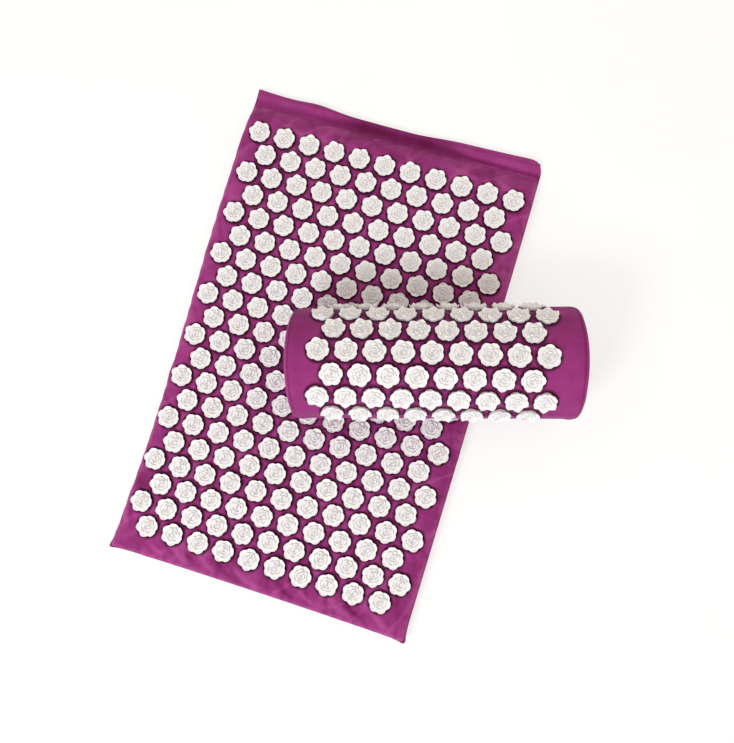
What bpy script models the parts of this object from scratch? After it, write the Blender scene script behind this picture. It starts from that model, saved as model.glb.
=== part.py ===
"""Acupressure mat with its neck pillow.

The mat is a foam slab in a sewn cotton cover. Past the foam, at the head end, the cover's two
panels run on as flat lips, closed with hook and loop tape. The pillow is a D-section foam block
in a cover of four panels, with a zip along its far flank. Both covers carry staggered rows of
hard white discs shaped like a spiked rosette.
+Z is up, +Y runs along the mat to its closure, the origin is the middle of the mat's underside.
"""

import math

import bmesh
import bpy
from mathutils import Vector
from mathutils.geometry import delaunay_2d_cdt

# Cloth and clearances, in metres like every length here
CLOTH = 0.001
GAP = 0.0003

# Mat: foam slab in its cover
MAT_LENGTH = 0.664
MAT_WIDTH = 0.412
MAT_THICKNESS = 0.022
MAT_CROWN = 0.001
EDGE_ROLL = 0.009
SIDE_DRAW = 0.002
FOOT_DRAW = 0.0015
SEAM_BAND = 0.0001
SEAM_RUN = 0.050

# Mat closure: two lips past the crease, with a tape sewn to each
LIP_WIDTH = 0.0245
LIP_DRAW = 0.005
CLOSURE_ROLL = 0.012
TAPE_WIDTH = 0.012
TAPE_THICKNESS = 0.0012
TAPE_END_MARGIN = 0.020

# Disc: a six-lobed rosette
DISC_RADIUS = 0.0139
LOBE_DEPTH = 0.0008
DISC_HEIGHT = 0.007
LOBES = 6
RIM_TIP_SHARE = 0.80
RIM_NOTCH_SHARE = 0.50
VALLEY_RADIUS_SHARE = 0.60
VALLEY_HEIGHT_SHARE = 0.42
FOOT_RADIUS_SHARE = 0.94
TURN_PER_DISC = math.radians(137.5)

# Disc field of the mat, with the least bare cloth between its discs and the sides, foot and crease
MAT_PITCH = 0.036
MAT_ROW_STEP = 0.0293
MAT_SIDE_CLEAR = 0.0108
MAT_FOOT_CLEAR = 0.0267
MAT_HEAD_CLEAR = 0.0264

# Pillow: D-section block in its cover
PILLOW_LENGTH = 0.362
PILLOW_RADIUS = 0.071
PILLOW_HEIGHT = 0.100
CORNER_POWER = 12
SEAM_HEIGHT = 0.0047
BASE_CUT = 0.00005
END_LEAN = 0.0055
END_CROWN = 0.004
END_ROLL = 0.012
END_ROLL_DEPTH = 0.003
PILLOW_X = 0.1418
PILLOW_Y = 0.0232
PILLOW_TURN = math.radians(16.65)

# Disc field of the pillow, with angles measured from its ridge, positive to the near flank
PILLOW_PITCH = 0.0343
PILLOW_ROW_STEP = 0.0283
PILLOW_END_CLEAR = 0.0288
PILLOW_ZIP_CLEAR = 0.0063
PILLOW_FIELD_SHIFT = -0.003
PILLOW_FIELD_TURN = math.radians(-4.4)
PILLOW_FIELD_SKEW = math.radians(2)

# Zip on the pillow's far flank
ZIP_HEIGHT = 0.0203
ZIP_TAPE_WIDTH = 0.0084
ZIP_TAPE_THICKNESS = 0.0007
ZIP_TOOTH_PITCH = 0.005
ZIP_TOOTH_REACH = 0.0012
ZIP_TOOTH_GAP = 0.00033
ZIP_BEAD_WIDTH = 0.0024
ZIP_BEAD_HEIGHT = 0.0012
ZIP_END_MARGIN = 0.0255
STOP_LENGTH = 0.003

# Zip slider and pull
SLIDER_LENGTH = 0.011
SLIDER_WALL = 0.0012
SLIDER_TAPER = 0.003
SLIDER_TAPER_SHARE = 0.35
BRIDGE_WIDTH = 0.0016
BRIDGE_WALL = 0.0010
BRIDGE_BEND = 0.0006
PULL_LENGTH = 0.022
PULL_WIDTH = 0.0056
PULL_THICKNESS = 0.0010
PULL_SIDE_PLAY = 0.0005

# Where the meshes are cut, as shares of the length that each follows
ROLL_SHARES = (0.0, 0.08, 0.30)
ACROSS_SHARES = (-0.5, 0.0, 0.5)
ALONG_SHARES = (0.2, 0.4, 0.6, 0.8)
END_RING_SHARES = (1.0, 0.8, 0.45)
WRAP_STEP = math.radians(13)
BASE_STEP = math.radians(10)
SHARP_ANGLE = math.radians(40)
WELD = 0.000001

# Places that follow from the sizes above
HEAD = MAT_LENGTH / 2
CREASE = HEAD - LIP_WIDTH
LIP_TOP = 2 * CLOTH + 2 * TAPE_THICKNESS + 3 * GAP
LIP_SEAM = LIP_TOP / 2
MID_SEAM = MAT_THICKNESS / 2
AXIS_HEIGHT = PILLOW_HEIGHT - PILLOW_RADIUS
PILLOW_SEAT = MAT_THICKNESS + MAT_CROWN + DISC_HEIGHT + GAP
FOAM_INSET = CLOTH + GAP
DISC_RIM = DISC_RADIUS + LOBE_DEPTH
MAT_LONG_ROW = 1 + math.floor((MAT_WIDTH - 2 * (MAT_SIDE_CLEAR + DISC_RIM)) / MAT_PITCH)
MAT_FIELD_FOOT = MAT_FOOT_CLEAR + DISC_RIM - MAT_LENGTH / 2
MAT_FIELD_HEAD = CREASE - MAT_HEAD_CLEAR - DISC_RIM
MAT_ROWS = 1 + math.floor((MAT_FIELD_HEAD - MAT_FIELD_FOOT) / MAT_ROW_STEP)
FRONT_SEAM_ANGLE = math.pi / 2 + math.asin((AXIS_HEIGHT - SEAM_HEIGHT) / PILLOW_RADIUS)
ZIP_ANGLE = -math.pi / 2 - math.asin((AXIS_HEIGHT - ZIP_HEIGHT) / PILLOW_RADIUS)
ZIP_HALF_ANGLE = (ZIP_TAPE_WIDTH + GAP) / PILLOW_RADIUS
ZIP_LENGTH = PILLOW_LENGTH - 2 * (END_LEAN + ZIP_END_MARGIN)
ZIP_SIDE_ARC = (PILLOW_FIELD_TURN - ZIP_ANGLE - ZIP_HALF_ANGLE) * PILLOW_RADIUS
PILLOW_LONG_ROW = 1 + math.floor((PILLOW_LENGTH - 2 * (PILLOW_END_CLEAR + DISC_RIM)) / PILLOW_PITCH)
PILLOW_ROWS = 1 + math.floor(2 * (ZIP_SIDE_ARC - PILLOW_ZIP_CLEAR - DISC_RIM) / PILLOW_ROW_STEP)
SLIDER_TOP = ZIP_BEAD_HEIGHT + GAP + SLIDER_WALL
PULL_BAR_REACH = math.hypot(PULL_THICKNESS, PULL_THICKNESS) / 2
PULL_AXIS_HEIGHT = SLIDER_TOP + GAP + PULL_BAR_REACH
BRIDGE_HALF_SPAN = PULL_BAR_REACH + PULL_SIDE_PLAY + BRIDGE_WALL
BRIDGE_TOP = PULL_AXIS_HEIGHT + PULL_BAR_REACH + GAP + BRIDGE_WALL
SLIDER_REST = (ZIP_LENGTH - SLIDER_LENGTH) / 2 - STOP_LENGTH - GAP

COLOURS = {
    "mat_cotton": ((0.27, 0.023, 0.17), 0.9, 0.0),
    "pillow_cotton": ((0.30, 0.025, 0.19), 0.9, 0.0),
    "disc_plastic": ((0.82, 0.83, 0.81), 0.35, 0.0),
    "foam": ((0.80, 0.79, 0.72), 1.0, 0.0),
    "hook_tape": ((0.20, 0.02, 0.13), 0.7, 0.0),
    "loop_tape": ((0.24, 0.03, 0.16), 1.0, 0.0),
    "zip_tape": ((0.22, 0.02, 0.14), 0.8, 0.0),
    "zip_metal": ((0.62, 0.62, 0.64), 0.3, 1.0),
}


# Scene, materials and objects
def clear_scene():
    for thing in list(bpy.data.objects):
        bpy.data.objects.remove(thing)


def make_materials():
    """One Principled material for each entry of COLOURS."""
    made = {}
    for name, (colour, roughness, metallic) in COLOURS.items():
        material = bpy.data.materials.new(name)
        material.use_nodes = True
        shader = material.node_tree.nodes["Principled BSDF"]
        shader.inputs["Base Color"].default_value = (*colour, 1.0)
        shader.inputs["Roughness"].default_value = roughness
        shader.inputs["Metallic"].default_value = metallic
        material.diffuse_color = (*colour, 1.0)
        made[name] = material
    return made


def add_empty(name, place, turn, parent=None):
    frame = bpy.data.objects.new(name, None)
    frame.location = place
    frame.rotation_euler = turn
    frame.parent = parent
    bpy.context.scene.collection.objects.link(frame)
    return frame


def add_object(name, mesh, materials, parent=None, place=(0.0, 0.0, 0.0), smooth=True):
    """A node from a finished bmesh, its normals outward and its creases kept sharp."""
    bmesh.ops.recalc_face_normals(mesh, faces=mesh.faces)
    if mesh.calc_volume(signed=True) < 0.0:
        bmesh.ops.reverse_faces(mesh, faces=mesh.faces)
    data = bpy.data.meshes.new(name)
    mesh.to_mesh(data)
    mesh.free()
    for material in materials:
        data.materials.append(material)
    if smooth:
        data.shade_smooth()
        data.set_sharp_from_angle(angle=SHARP_ANGLE)
    node = bpy.data.objects.new(name, data)
    node.location = place
    node.parent = parent
    bpy.context.scene.collection.objects.link(node)
    return node


# Small mesh tools
def quads_between(mesh, first, second, loop=False):
    """A strip of quads between two rows of points, round to the start again if loop is set."""
    count = len(first)
    for i in range(count if loop else count - 1):
        j = (i + 1) % count
        mesh.faces.new((first[i], first[j], second[j], second[i]))


def add_row(mesh, places):
    return [mesh.verts.new(place) for place in places]


def add_grid(mesh, us, vs, place):
    """A net of quads over us by vs, and its points as columns."""
    columns = [add_row(mesh, [place(u, v) for v in vs]) for u in us]
    for left, right in zip(columns, columns[1:]):
        quads_between(mesh, left, right)
    return columns


def ring_of(columns, level=0):
    """The points of a net that lie level lines in from its edge, in order round it."""
    right = len(columns) - 1 - level
    high = len(columns[0]) - 1 - level
    foot = [columns[i][level] for i in range(level, right)]
    far = [columns[right][j] for j in range(level, high)]
    head = [columns[i][high] for i in range(right, level, -1)]
    near = [columns[level][j] for j in range(high, level, -1)]
    return foot + far + head + near


def add_sheet(mesh, us, vs, face, back, back_us=None, back_vs=None):
    """A closed sheet with one net for its face, one for its back, and a rim between their edges."""
    face_net = add_grid(mesh, us, vs, face)
    back_net = add_grid(mesh, back_us or us, back_vs or vs, back)
    quads_between(mesh, ring_of(face_net), ring_of(back_net), loop=True)


def add_plate(mesh, points, faces, loops, place, thickness):
    """A flat plate from plan points: faces are polygons of the plan, loops the outlines with a wall."""
    low = add_row(mesh, [place(u, v, 0.0) for u, v in points])
    high = add_row(mesh, [place(u, v, thickness) for u, v in points])
    for level in (low, high):
        for face in faces:
            mesh.faces.new([level[k] for k in face])
    for walled in loops:
        quads_between(mesh, [low[k] for k in walled], [high[k] for k in walled], loop=True)


def blend(low, high, share):
    return low + (high - low) * share


def roll(distance, width):
    """Quarter-ellipse rise of cloth round an edge: 0 at its seam, 1 where it lies level."""
    share = min(max((distance - SEAM_BAND) / (width - SEAM_BAND), 0.0), 1.0)
    return math.sqrt(1.0 - (1.0 - share) ** 2)


def ease(share):
    share = min(max(share, 0.0), 1.0)
    return share * share * (3.0 - 2.0 * share)


# Discs, and the cloth round them
def disc_crown():
    """Points of one rosette over its centre: a rim of raised lobes and low notches, a valley, a bud."""
    rim = []
    for step in range(2 * LOBES):
        on_lobe = step % 2 == 0
        radius = DISC_RADIUS + (LOBE_DEPTH if on_lobe else -LOBE_DEPTH)
        height = DISC_HEIGHT * (RIM_TIP_SHARE if on_lobe else RIM_NOTCH_SHARE)
        rim.append((radius, step * math.pi / LOBES, height))
    valley_radius = DISC_RADIUS * VALLEY_RADIUS_SHARE
    valley_height = DISC_HEIGHT * VALLEY_HEIGHT_SHARE
    valley = [(valley_radius, (step + 0.5) * math.tau / LOBES, valley_height) for step in range(LOBES)]
    return rim, valley


def disc_foot(centre, turn):
    """The hexagon, in the cloth's own plane, along which a disc meets the cloth."""
    reach = DISC_RIM * FOOT_RADIUS_SHARE
    angles = [turn + step * math.tau / LOBES for step in range(LOBES)]
    return [(centre[0] + reach * math.cos(a), centre[1] + reach * math.sin(a)) for a in angles]


def add_disc(mesh, foot, origin, across, normal, turn):
    """A rosette standing on its foot points, level in the plane that touches the cloth at its middle."""
    along = Vector((1.0, 0.0, 0.0))

    def at(radius, angle, height):
        outward = math.cos(angle + turn) * along + math.sin(angle + turn) * across
        return origin + radius * outward + height * normal

    rim_points, valley_points = disc_crown()
    rim = add_row(mesh, [at(*point) for point in rim_points])
    valley = add_row(mesh, [at(*point) for point in valley_points])
    bud = mesh.verts.new(at(0.0, 0.0, DISC_HEIGHT))
    faces = []
    for k in range(LOBES):
        after = (k + 1) % LOBES
        lobe, notch, next_lobe = rim[2 * k], rim[2 * k + 1], rim[2 * after]
        faces.append((foot[k], foot[after], notch))
        faces.append((foot[k], notch, lobe))
        faces.append((foot[after], next_lobe, notch))
        faces.append((lobe, notch, valley[k]))
        faces.append((notch, next_lobe, valley[k]))
        faces.append((next_lobe, valley[after], valley[k]))
        faces.append((valley[k], valley[after], bud))
    for corners in faces:
        mesh.faces.new(corners).material_index = 1


def add_studded_face(mesh, chains, loose, discs, place):
    """Cloth with discs on it. chains are rows of plan points that the cloth's edges follow, the first one
    closed round it; loose are plan points in its open areas; discs are (centre, turn) pairs."""
    points = []
    edges = []
    feet = []
    for chain, is_loop in chains:
        start = len(points)
        points.extend(chain)
        edges.extend((start + i, start + i + 1) for i in range(len(chain) - 1))
        if is_loop:
            edges.append((len(points) - 1, start))
    for centre, turn in discs:
        start = len(points)
        points.extend(disc_foot(centre, turn))
        edges.extend((start + i, start + (i + 1) % LOBES) for i in range(LOBES))
        feet.append(range(start, start + LOBES))
    points.extend(loose)
    plan, _, triangles, sources, _, _ = delaunay_2d_cdt([Vector(p) for p in points], edges, [], 1, WELD)
    verts = [mesh.verts.new(place(p.x, p.y)) for p in plan]
    new_index = {old: new for new, olds in enumerate(sources) for old in olds}
    foot_of = {new_index[old]: k for k, foot in enumerate(feet) for old in foot}
    for corners in triangles:
        homes = {foot_of.get(corner) for corner in corners}
        if len(homes) > 1 or None in homes:
            mesh.faces.new([verts[corner] for corner in corners])
    edge_ring = [verts[new_index[i]] for i in range(len(chains[0][0]))]
    return edge_ring, [[verts[new_index[old]] for old in foot] for foot in feet]


def clear_of_discs(points, discs):
    """The plan points that lie outside every disc."""
    clear = DISC_RIM + LOBE_DEPTH
    return [point for point in points if all(math.dist(point, centre) > clear for centre, _ in discs)]


def staggered_field(rows, long_row, pitch, row_step, first_is_long):
    """(along, across, index) of each disc centre in a field of rows that hold one disc less in turn."""
    spots = []
    for row in range(rows):
        is_long = (row % 2 == 0) == first_is_long
        count = long_row if is_long else long_row - 1
        across = ((rows - 1) / 2 - row) * row_step
        for k in range(count):
            spots.append(((k - (count - 1) / 2) * pitch, across, len(spots)))
    return spots


# Mat
def half_width(y):
    return MAT_WIDTH / 2 - SIDE_DRAW * (1.0 - (2.0 * y / MAT_LENGTH) ** 2)


def mat_plan(x, y):
    """A point of the straight-sided plan, moved to where the drawn-in sides and ends put it."""
    bow = 1.0 - (2.0 * x / MAT_WIDTH) ** 2
    if y < 0.0:
        draw = FOOT_DRAW * -y / (MAT_LENGTH / 2)
    else:
        draw = -LIP_DRAW * min(max((y - CREASE) / LIP_WIDTH, 0.0), 1.0)
    return x * half_width(y) / (MAT_WIDTH / 2), y + bow * draw


def mat_rolls(x, y, inset):
    """How far the cloth has rolled up from the side and foot seams, 0 to 1."""
    side = half_width(y) - inset - abs(x)
    foot = y + MAT_LENGTH / 2 - FOOT_DRAW * (1.0 - (2.0 * x / MAT_WIDTH) ** 2) - inset
    return roll(side, EDGE_ROLL - inset) * roll(foot, EDGE_ROLL - inset)


def mat_seam(y):
    return blend(LIP_SEAM, MID_SEAM, ease((CREASE - CLOTH - GAP - y) / SEAM_RUN))


def mat_top(x, y, inset=0.0):
    """Height of the cover's upper face, or of a face set in from it."""
    closure = roll(CREASE - inset - y, CLOSURE_ROLL - inset)
    level = LIP_TOP - inset + (MAT_THICKNESS - LIP_TOP) * closure
    seam = mat_seam(y) + GAP / 2
    crown = MAT_CROWN * closure * (1.0 - (2.0 * x / MAT_WIDTH) ** 2) * (1.0 - (2.0 * y / MAT_LENGTH) ** 2)
    return blend(seam, level + crown, mat_rolls(x, y, inset))


def mat_bottom(x, y, inset=0.0):
    return blend(mat_seam(y) - GAP / 2, inset, mat_rolls(x, y, inset))


def roll_offsets(inset, width):
    """Distances in from the edge of the plan at which a roll of cloth is cut into facets."""
    return [inset + share * (width - inset) for share in ROLL_SHARES] + [width + inset]


def mat_columns(inset):
    offsets = roll_offsets(inset, EDGE_ROLL)
    right = [MAT_WIDTH / 2 - offset for offset in offsets]
    middle = [share * MAT_WIDTH / 2 for share in ACROSS_SHARES]
    return [-x for x in right] + middle + right[::-1]


def mat_rows(inset):
    foot = [offset - MAT_LENGTH / 2 for offset in roll_offsets(inset, EDGE_ROLL)]
    middle = [blend(-MAT_LENGTH / 2, CREASE, share) for share in ALONG_SHARES]
    return foot + middle + [CREASE - end for end in reversed(roll_offsets(inset, CLOSURE_ROLL))]


def mat_face(inset, height):
    """The place of a plan point on one face of the mat."""
    def place(x, y):
        plan_x, plan_y = mat_plan(x, y)
        return plan_x, plan_y, height(plan_x, plan_y, inset)
    return place


def mat_discs():
    spots = staggered_field(MAT_ROWS, MAT_LONG_ROW, MAT_PITCH, MAT_ROW_STEP, True)
    middle = (MAT_FIELD_FOOT + MAT_FIELD_HEAD) / 2
    return [((x, y + middle), index * TURN_PER_DISC) for x, y, index in spots]


def make_mat_top_panel(materials):
    mesh = bmesh.new()
    columns, rows = mat_columns(0.0), mat_rows(0.0)
    net = [[mat_plan(x, y) for y in rows] for x in columns]
    chains = [(ring_of(net, level), True) for level in range(len(ROLL_SHARES))]
    inner = len(ROLL_SHARES)
    for row in (inner, len(rows) - 1 - inner):
        chains.append(([column[row] for column in net[inner:-inner]], False))
    discs = mat_discs()
    ys = sorted({centre[1] + shift for centre, _ in discs for shift in (0.0, MAT_ROW_STEP / 2)})
    flanks = [(side * (MAT_WIDTH / 2 - EDGE_ROLL), y) for side in (-1, 1) for y in ys]
    loose = clear_of_discs(flanks, discs)

    def on_top(x, y):
        return Vector((x, y, mat_top(x, y)))

    edge, feet = add_studded_face(mesh, chains, loose, discs, on_top)
    for (centre, turn), foot in zip(discs, feet):
        add_disc(mesh, foot, on_top(*centre), Vector((0.0, 1.0, 0.0)), Vector((0.0, 0.0, 1.0)), turn)
    back = add_grid(mesh, mat_columns(CLOTH), mat_rows(CLOTH), mat_face(CLOTH, mat_top))
    quads_between(mesh, edge, ring_of(back), loop=True)
    return add_object("mat_top_panel", mesh, [materials["mat_cotton"], materials["disc_plastic"]])


def make_mat_bottom_panel(materials):
    """The plain panel underneath, which runs on past the crease as the lower lip."""
    mesh = bmesh.new()
    columns = mat_columns(0.0)
    rows = mat_rows(0.0) + [HEAD]
    back_columns = mat_columns(CLOTH)
    back_rows = mat_rows(CLOTH) + [HEAD]
    face, back = mat_face(0.0, mat_bottom), mat_face(CLOTH, mat_bottom)
    add_sheet(mesh, columns, rows, face, back, back_columns, back_rows)
    return add_object("mat_bottom_panel", mesh, [materials["mat_cotton"]])


def make_mat_foam(materials):
    mesh = bmesh.new()
    columns, rows = mat_columns(FOAM_INSET), mat_rows(FOAM_INSET)
    add_sheet(mesh, columns, rows, mat_face(FOAM_INSET, mat_top), mat_face(FOAM_INSET, mat_bottom))
    return add_object("mat_foam", mesh, [materials["foam"]])


def make_closure_flap(materials):
    """The upper lip, on its own so that it can turn about the crease to open the cover."""
    mesh = bmesh.new()
    rows = [CREASE + GAP, HEAD]
    face, back = mat_face(0.0, mat_top), mat_face(CLOTH, mat_top)

    def about_hinge(place):
        def moved(x, y):
            px, py, pz = place(x, y)
            return px, py - CREASE - GAP, pz - LIP_TOP
        return moved

    add_sheet(mesh, mat_columns(0.0), rows, about_hinge(face), about_hinge(back), mat_columns(CLOTH))
    return add_object("closure_flap", mesh, [materials["mat_cotton"]], place=(0.0, CREASE + GAP, LIP_TOP))


def make_closure_tape(name, material, base):
    """A strip between the lips, as long as the opening, its under face at base."""
    mesh = bmesh.new()
    half = MAT_WIDTH / 2 - TAPE_END_MARGIN
    inner = CREASE + (LIP_WIDTH - LIP_DRAW - TAPE_WIDTH) / 2
    stations = [share * half for share in (-1.0, *ACROSS_SHARES, 1.0)]

    def bowed(x):
        return inner - LIP_DRAW / 2 * (1.0 - (2.0 * x / MAT_WIDTH) ** 2) + LIP_DRAW / 2

    outline = [(x, bowed(x)) for x in stations] + [(x, bowed(x) + TAPE_WIDTH) for x in reversed(stations)]
    everything = range(len(outline))
    add_plate(mesh, outline, [everything], [everything], lambda x, y, z: (x, y, base + z), TAPE_THICKNESS)
    return add_object(name, mesh, [material], smooth=False)


# Pillow
def pillow_section(angle, inset=0.0):
    """(y, z) on the D section: a circle cut by the base, with the corners between them rounded off."""
    reach = (PILLOW_RADIUS - inset) ** -CORNER_POWER
    reach += (max(-math.cos(angle), 0.0) / (AXIS_HEIGHT - inset)) ** CORNER_POWER
    reach **= -1.0 / CORNER_POWER
    z = AXIS_HEIGHT + reach * math.cos(angle)
    return -reach * math.sin(angle), (inset if z - inset < BASE_CUT else z)


def pillow_half_length(angle):
    """The end seams lean in from the ridge down to the flanks."""
    return PILLOW_LENGTH / 2 - END_LEAN * (1.0 - max(math.cos(angle), 0.0))


def end_draw(x, angle):
    """How far the cloth is drawn in near the end seams."""
    return END_ROLL_DEPTH * (1.0 - roll(pillow_half_length(angle) - abs(x), END_ROLL))


def on_pillow(x, angle, inset=0.0):
    """A point of the pillow's skin."""
    y, z = pillow_section(angle, inset + end_draw(x, angle))
    return Vector((x, y, z))


def pillow_stations(middle_shares):
    """Places along the pillow as (side, distance in from the end seam) or shares of its half length."""
    ends = [(1, offset) for offset in roll_offsets(0.0, END_ROLL)]
    return [(-1, offset) for _, offset in ends] + [(0, share) for share in middle_shares] + ends[::-1]


def station_x(station, angle):
    side, value = station
    half = pillow_half_length(angle)
    return side * (half - value) if side else value * (half - END_ROLL)


def angles_between(first, last, most):
    """Even steps from first to last, none wider than most."""
    count = math.ceil(abs(last - first) / most)
    return [blend(first, last, k / count) for k in range(count + 1)]


def wrap_angles():
    return angles_between(ZIP_ANGLE + ZIP_HALF_ANGLE, FRONT_SEAM_ANGLE, WRAP_STEP)


def base_angles():
    first = FRONT_SEAM_ANGLE + GAP / PILLOW_RADIUS
    return angles_between(first, math.tau + ZIP_ANGLE - ZIP_HALF_ANGLE, BASE_STEP)


def round_angles():
    """The angles of both panels, so that what lies under or against them has the same facets."""
    return wrap_angles() + base_angles()[1:]


def pillow_discs():
    """The discs' rows run a little askew to the ridge, towards the zip at the left end."""
    spots = staggered_field(PILLOW_ROWS, PILLOW_LONG_ROW, PILLOW_PITCH, PILLOW_ROW_STEP, False)
    turn = PILLOW_FIELD_TURN * PILLOW_RADIUS
    lean, keep = math.sin(PILLOW_FIELD_SKEW), math.cos(PILLOW_FIELD_SKEW)
    discs = []
    for along, across, index in spots:
        x = PILLOW_FIELD_SHIFT + keep * along + lean * across
        discs.append(((x, turn + lean * along - keep * across), index * TURN_PER_DISC))
    return discs


def make_pillow_wrap_panel(materials, pillow):
    """The panel over the ridge with its discs, laid out flat by its arc and wrapped round the section."""
    mesh = bmesh.new()
    angles = wrap_angles()
    stations = pillow_stations(ACROSS_SHARES)
    net = [[(station_x(s, a), a * PILLOW_RADIUS) for a in angles] for s in stations]
    discs = pillow_discs()
    chains = [(ring_of(net), True)]
    last = len(stations) - 1
    for level in range(1, len(ROLL_SHARES) + 1):
        chains.append((net[level][1:-1], False))
        chains.append((net[last - level][1:-1], False))
    reach = pillow_half_length(FRONT_SEAM_ANGLE) - END_ROLL
    for angle in angles[1:-1]:
        arc = angle * PILLOW_RADIUS
        if all(abs(centre[1] - arc) > DISC_RIM for centre, _ in discs):
            chains.append(([(-reach, arc), (reach, arc)], False))
    count = round(2 * reach / PILLOW_PITCH) * 2
    columns = [blend(-reach, reach, k / count) for k in range(1, count)]
    loose = clear_of_discs([(x, a * PILLOW_RADIUS) for x in columns for a in angles[1:-1]], discs)

    def on_skin(x, arc):
        return on_pillow(x, arc / PILLOW_RADIUS)

    edge, feet = add_studded_face(mesh, chains, loose, discs, on_skin)
    for (centre, turn), foot in zip(discs, feet):
        angle = centre[1] / PILLOW_RADIUS
        across = Vector((0.0, -math.cos(angle), -math.sin(angle)))
        normal = Vector((0.0, -math.sin(angle), math.cos(angle)))
        add_disc(mesh, foot, on_skin(*centre), across, normal, turn)
    back = add_grid(mesh, stations, angles, lambda s, a: on_pillow(station_x(s, a), a, CLOTH))
    quads_between(mesh, edge, ring_of(back), loop=True)
    slots = [materials["pillow_cotton"], materials["disc_plastic"]]
    return add_object("pillow_wrap_panel", mesh, slots, pillow)


def make_pillow_base_panel(materials, pillow):
    """The plain panel from the near seam under the pillow and up the far flank to the zip."""
    mesh = bmesh.new()
    stations = pillow_stations(())
    add_sheet(mesh, stations, base_angles(), lambda s, a: on_pillow(station_x(s, a), a),
              lambda s, a: on_pillow(station_x(s, a), a, CLOTH))
    return add_object("pillow_base_panel", mesh, [materials["pillow_cotton"]], pillow)


def end_place(side, share, angle, out, inset):
    """A point of a crowned end: share is its distance from the middle, out how far past the seam."""
    y, z = pillow_section(angle, END_ROLL_DEPTH + inset)
    middle = pillow_half_length(0.0) - END_LEAN / 2
    x = blend(middle, pillow_half_length(angle), share * share) + END_CROWN * (1.0 - share * share) + out
    return side * x, share * y, AXIS_HEIGHT + share * (z - AXIS_HEIGHT)


def add_crowned_face(mesh, side, angles, out, inset):
    """A face of rings from a bulged end's edge to its middle, and its edge points."""
    rings = [add_row(mesh, [end_place(side, share, a, out, inset) for a in angles])
             for share in END_RING_SHARES]
    for outer, inner in zip(rings, rings[1:]):
        quads_between(mesh, outer, inner, loop=True)
    middle = mesh.verts.new(end_place(side, 0.0, 0.0, out, inset))
    for k, point in enumerate(rings[-1]):
        mesh.faces.new((point, rings[-1][(k + 1) % len(angles)], middle))
    return rings[0]


def make_pillow_end(name, side, materials, pillow):
    mesh = bmesh.new()
    angles = round_angles()
    face = add_crowned_face(mesh, side, angles, GAP + CLOTH, 0.0)
    back = add_crowned_face(mesh, side, angles, GAP, 0.0)
    quads_between(mesh, face, back, loop=True)
    return add_object(name, mesh, [materials["pillow_cotton"]], pillow)


def make_pillow_foam(materials, pillow):
    mesh = bmesh.new()
    angles = round_angles()
    rings = []
    for station in pillow_stations(()):
        rings.append(add_row(mesh, [on_pillow(station_x(station, a), a, FOAM_INSET) for a in angles]))
    for first, second in zip(rings, rings[1:]):
        quads_between(mesh, first, second, loop=True)
    for side, ring in ((-1, rings[0]), (1, rings[-1])):
        edge = add_crowned_face(mesh, side, angles, -GAP, FOAM_INSET)
        quads_between(mesh, ring, edge, loop=True)
    bmesh.ops.remove_doubles(mesh, verts=mesh.verts, dist=WELD)
    return add_object("pillow_foam", mesh, [materials["foam"]], pillow)


# Zip
def flank_angle(across):
    return ZIP_ANGLE + across / PILLOW_RADIUS


def on_flank(x, across, out):
    """A point by the zip: across is up the flank from the zip's middle, out is off the cloth."""
    angle = flank_angle(across)
    radius = PILLOW_RADIUS + out - end_draw(x, angle)
    return Vector((x, -radius * math.sin(angle), AXIS_HEIGHT + radius * math.cos(angle)))


def zip_teeth(side):
    """(x, across) along one tape's edge: pointed teeth that stand between those of the other tape."""
    slope = ZIP_TOOTH_REACH / (ZIP_TOOTH_PITCH / 2)
    clear = ZIP_TOOTH_GAP / 2 * math.hypot(1.0, slope)
    count = 2 * round(ZIP_LENGTH / ZIP_TOOTH_PITCH) - 2
    points = [(-ZIP_LENGTH / 2, side * clear)]
    for k in range(count + 1):
        reach = (k % 2 - 0.5) * ZIP_TOOTH_REACH
        points.append(((k - count / 2) * ZIP_TOOTH_PITCH / 2, side * clear + reach))
    points.append((ZIP_LENGTH / 2, side * clear))
    return points


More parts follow.
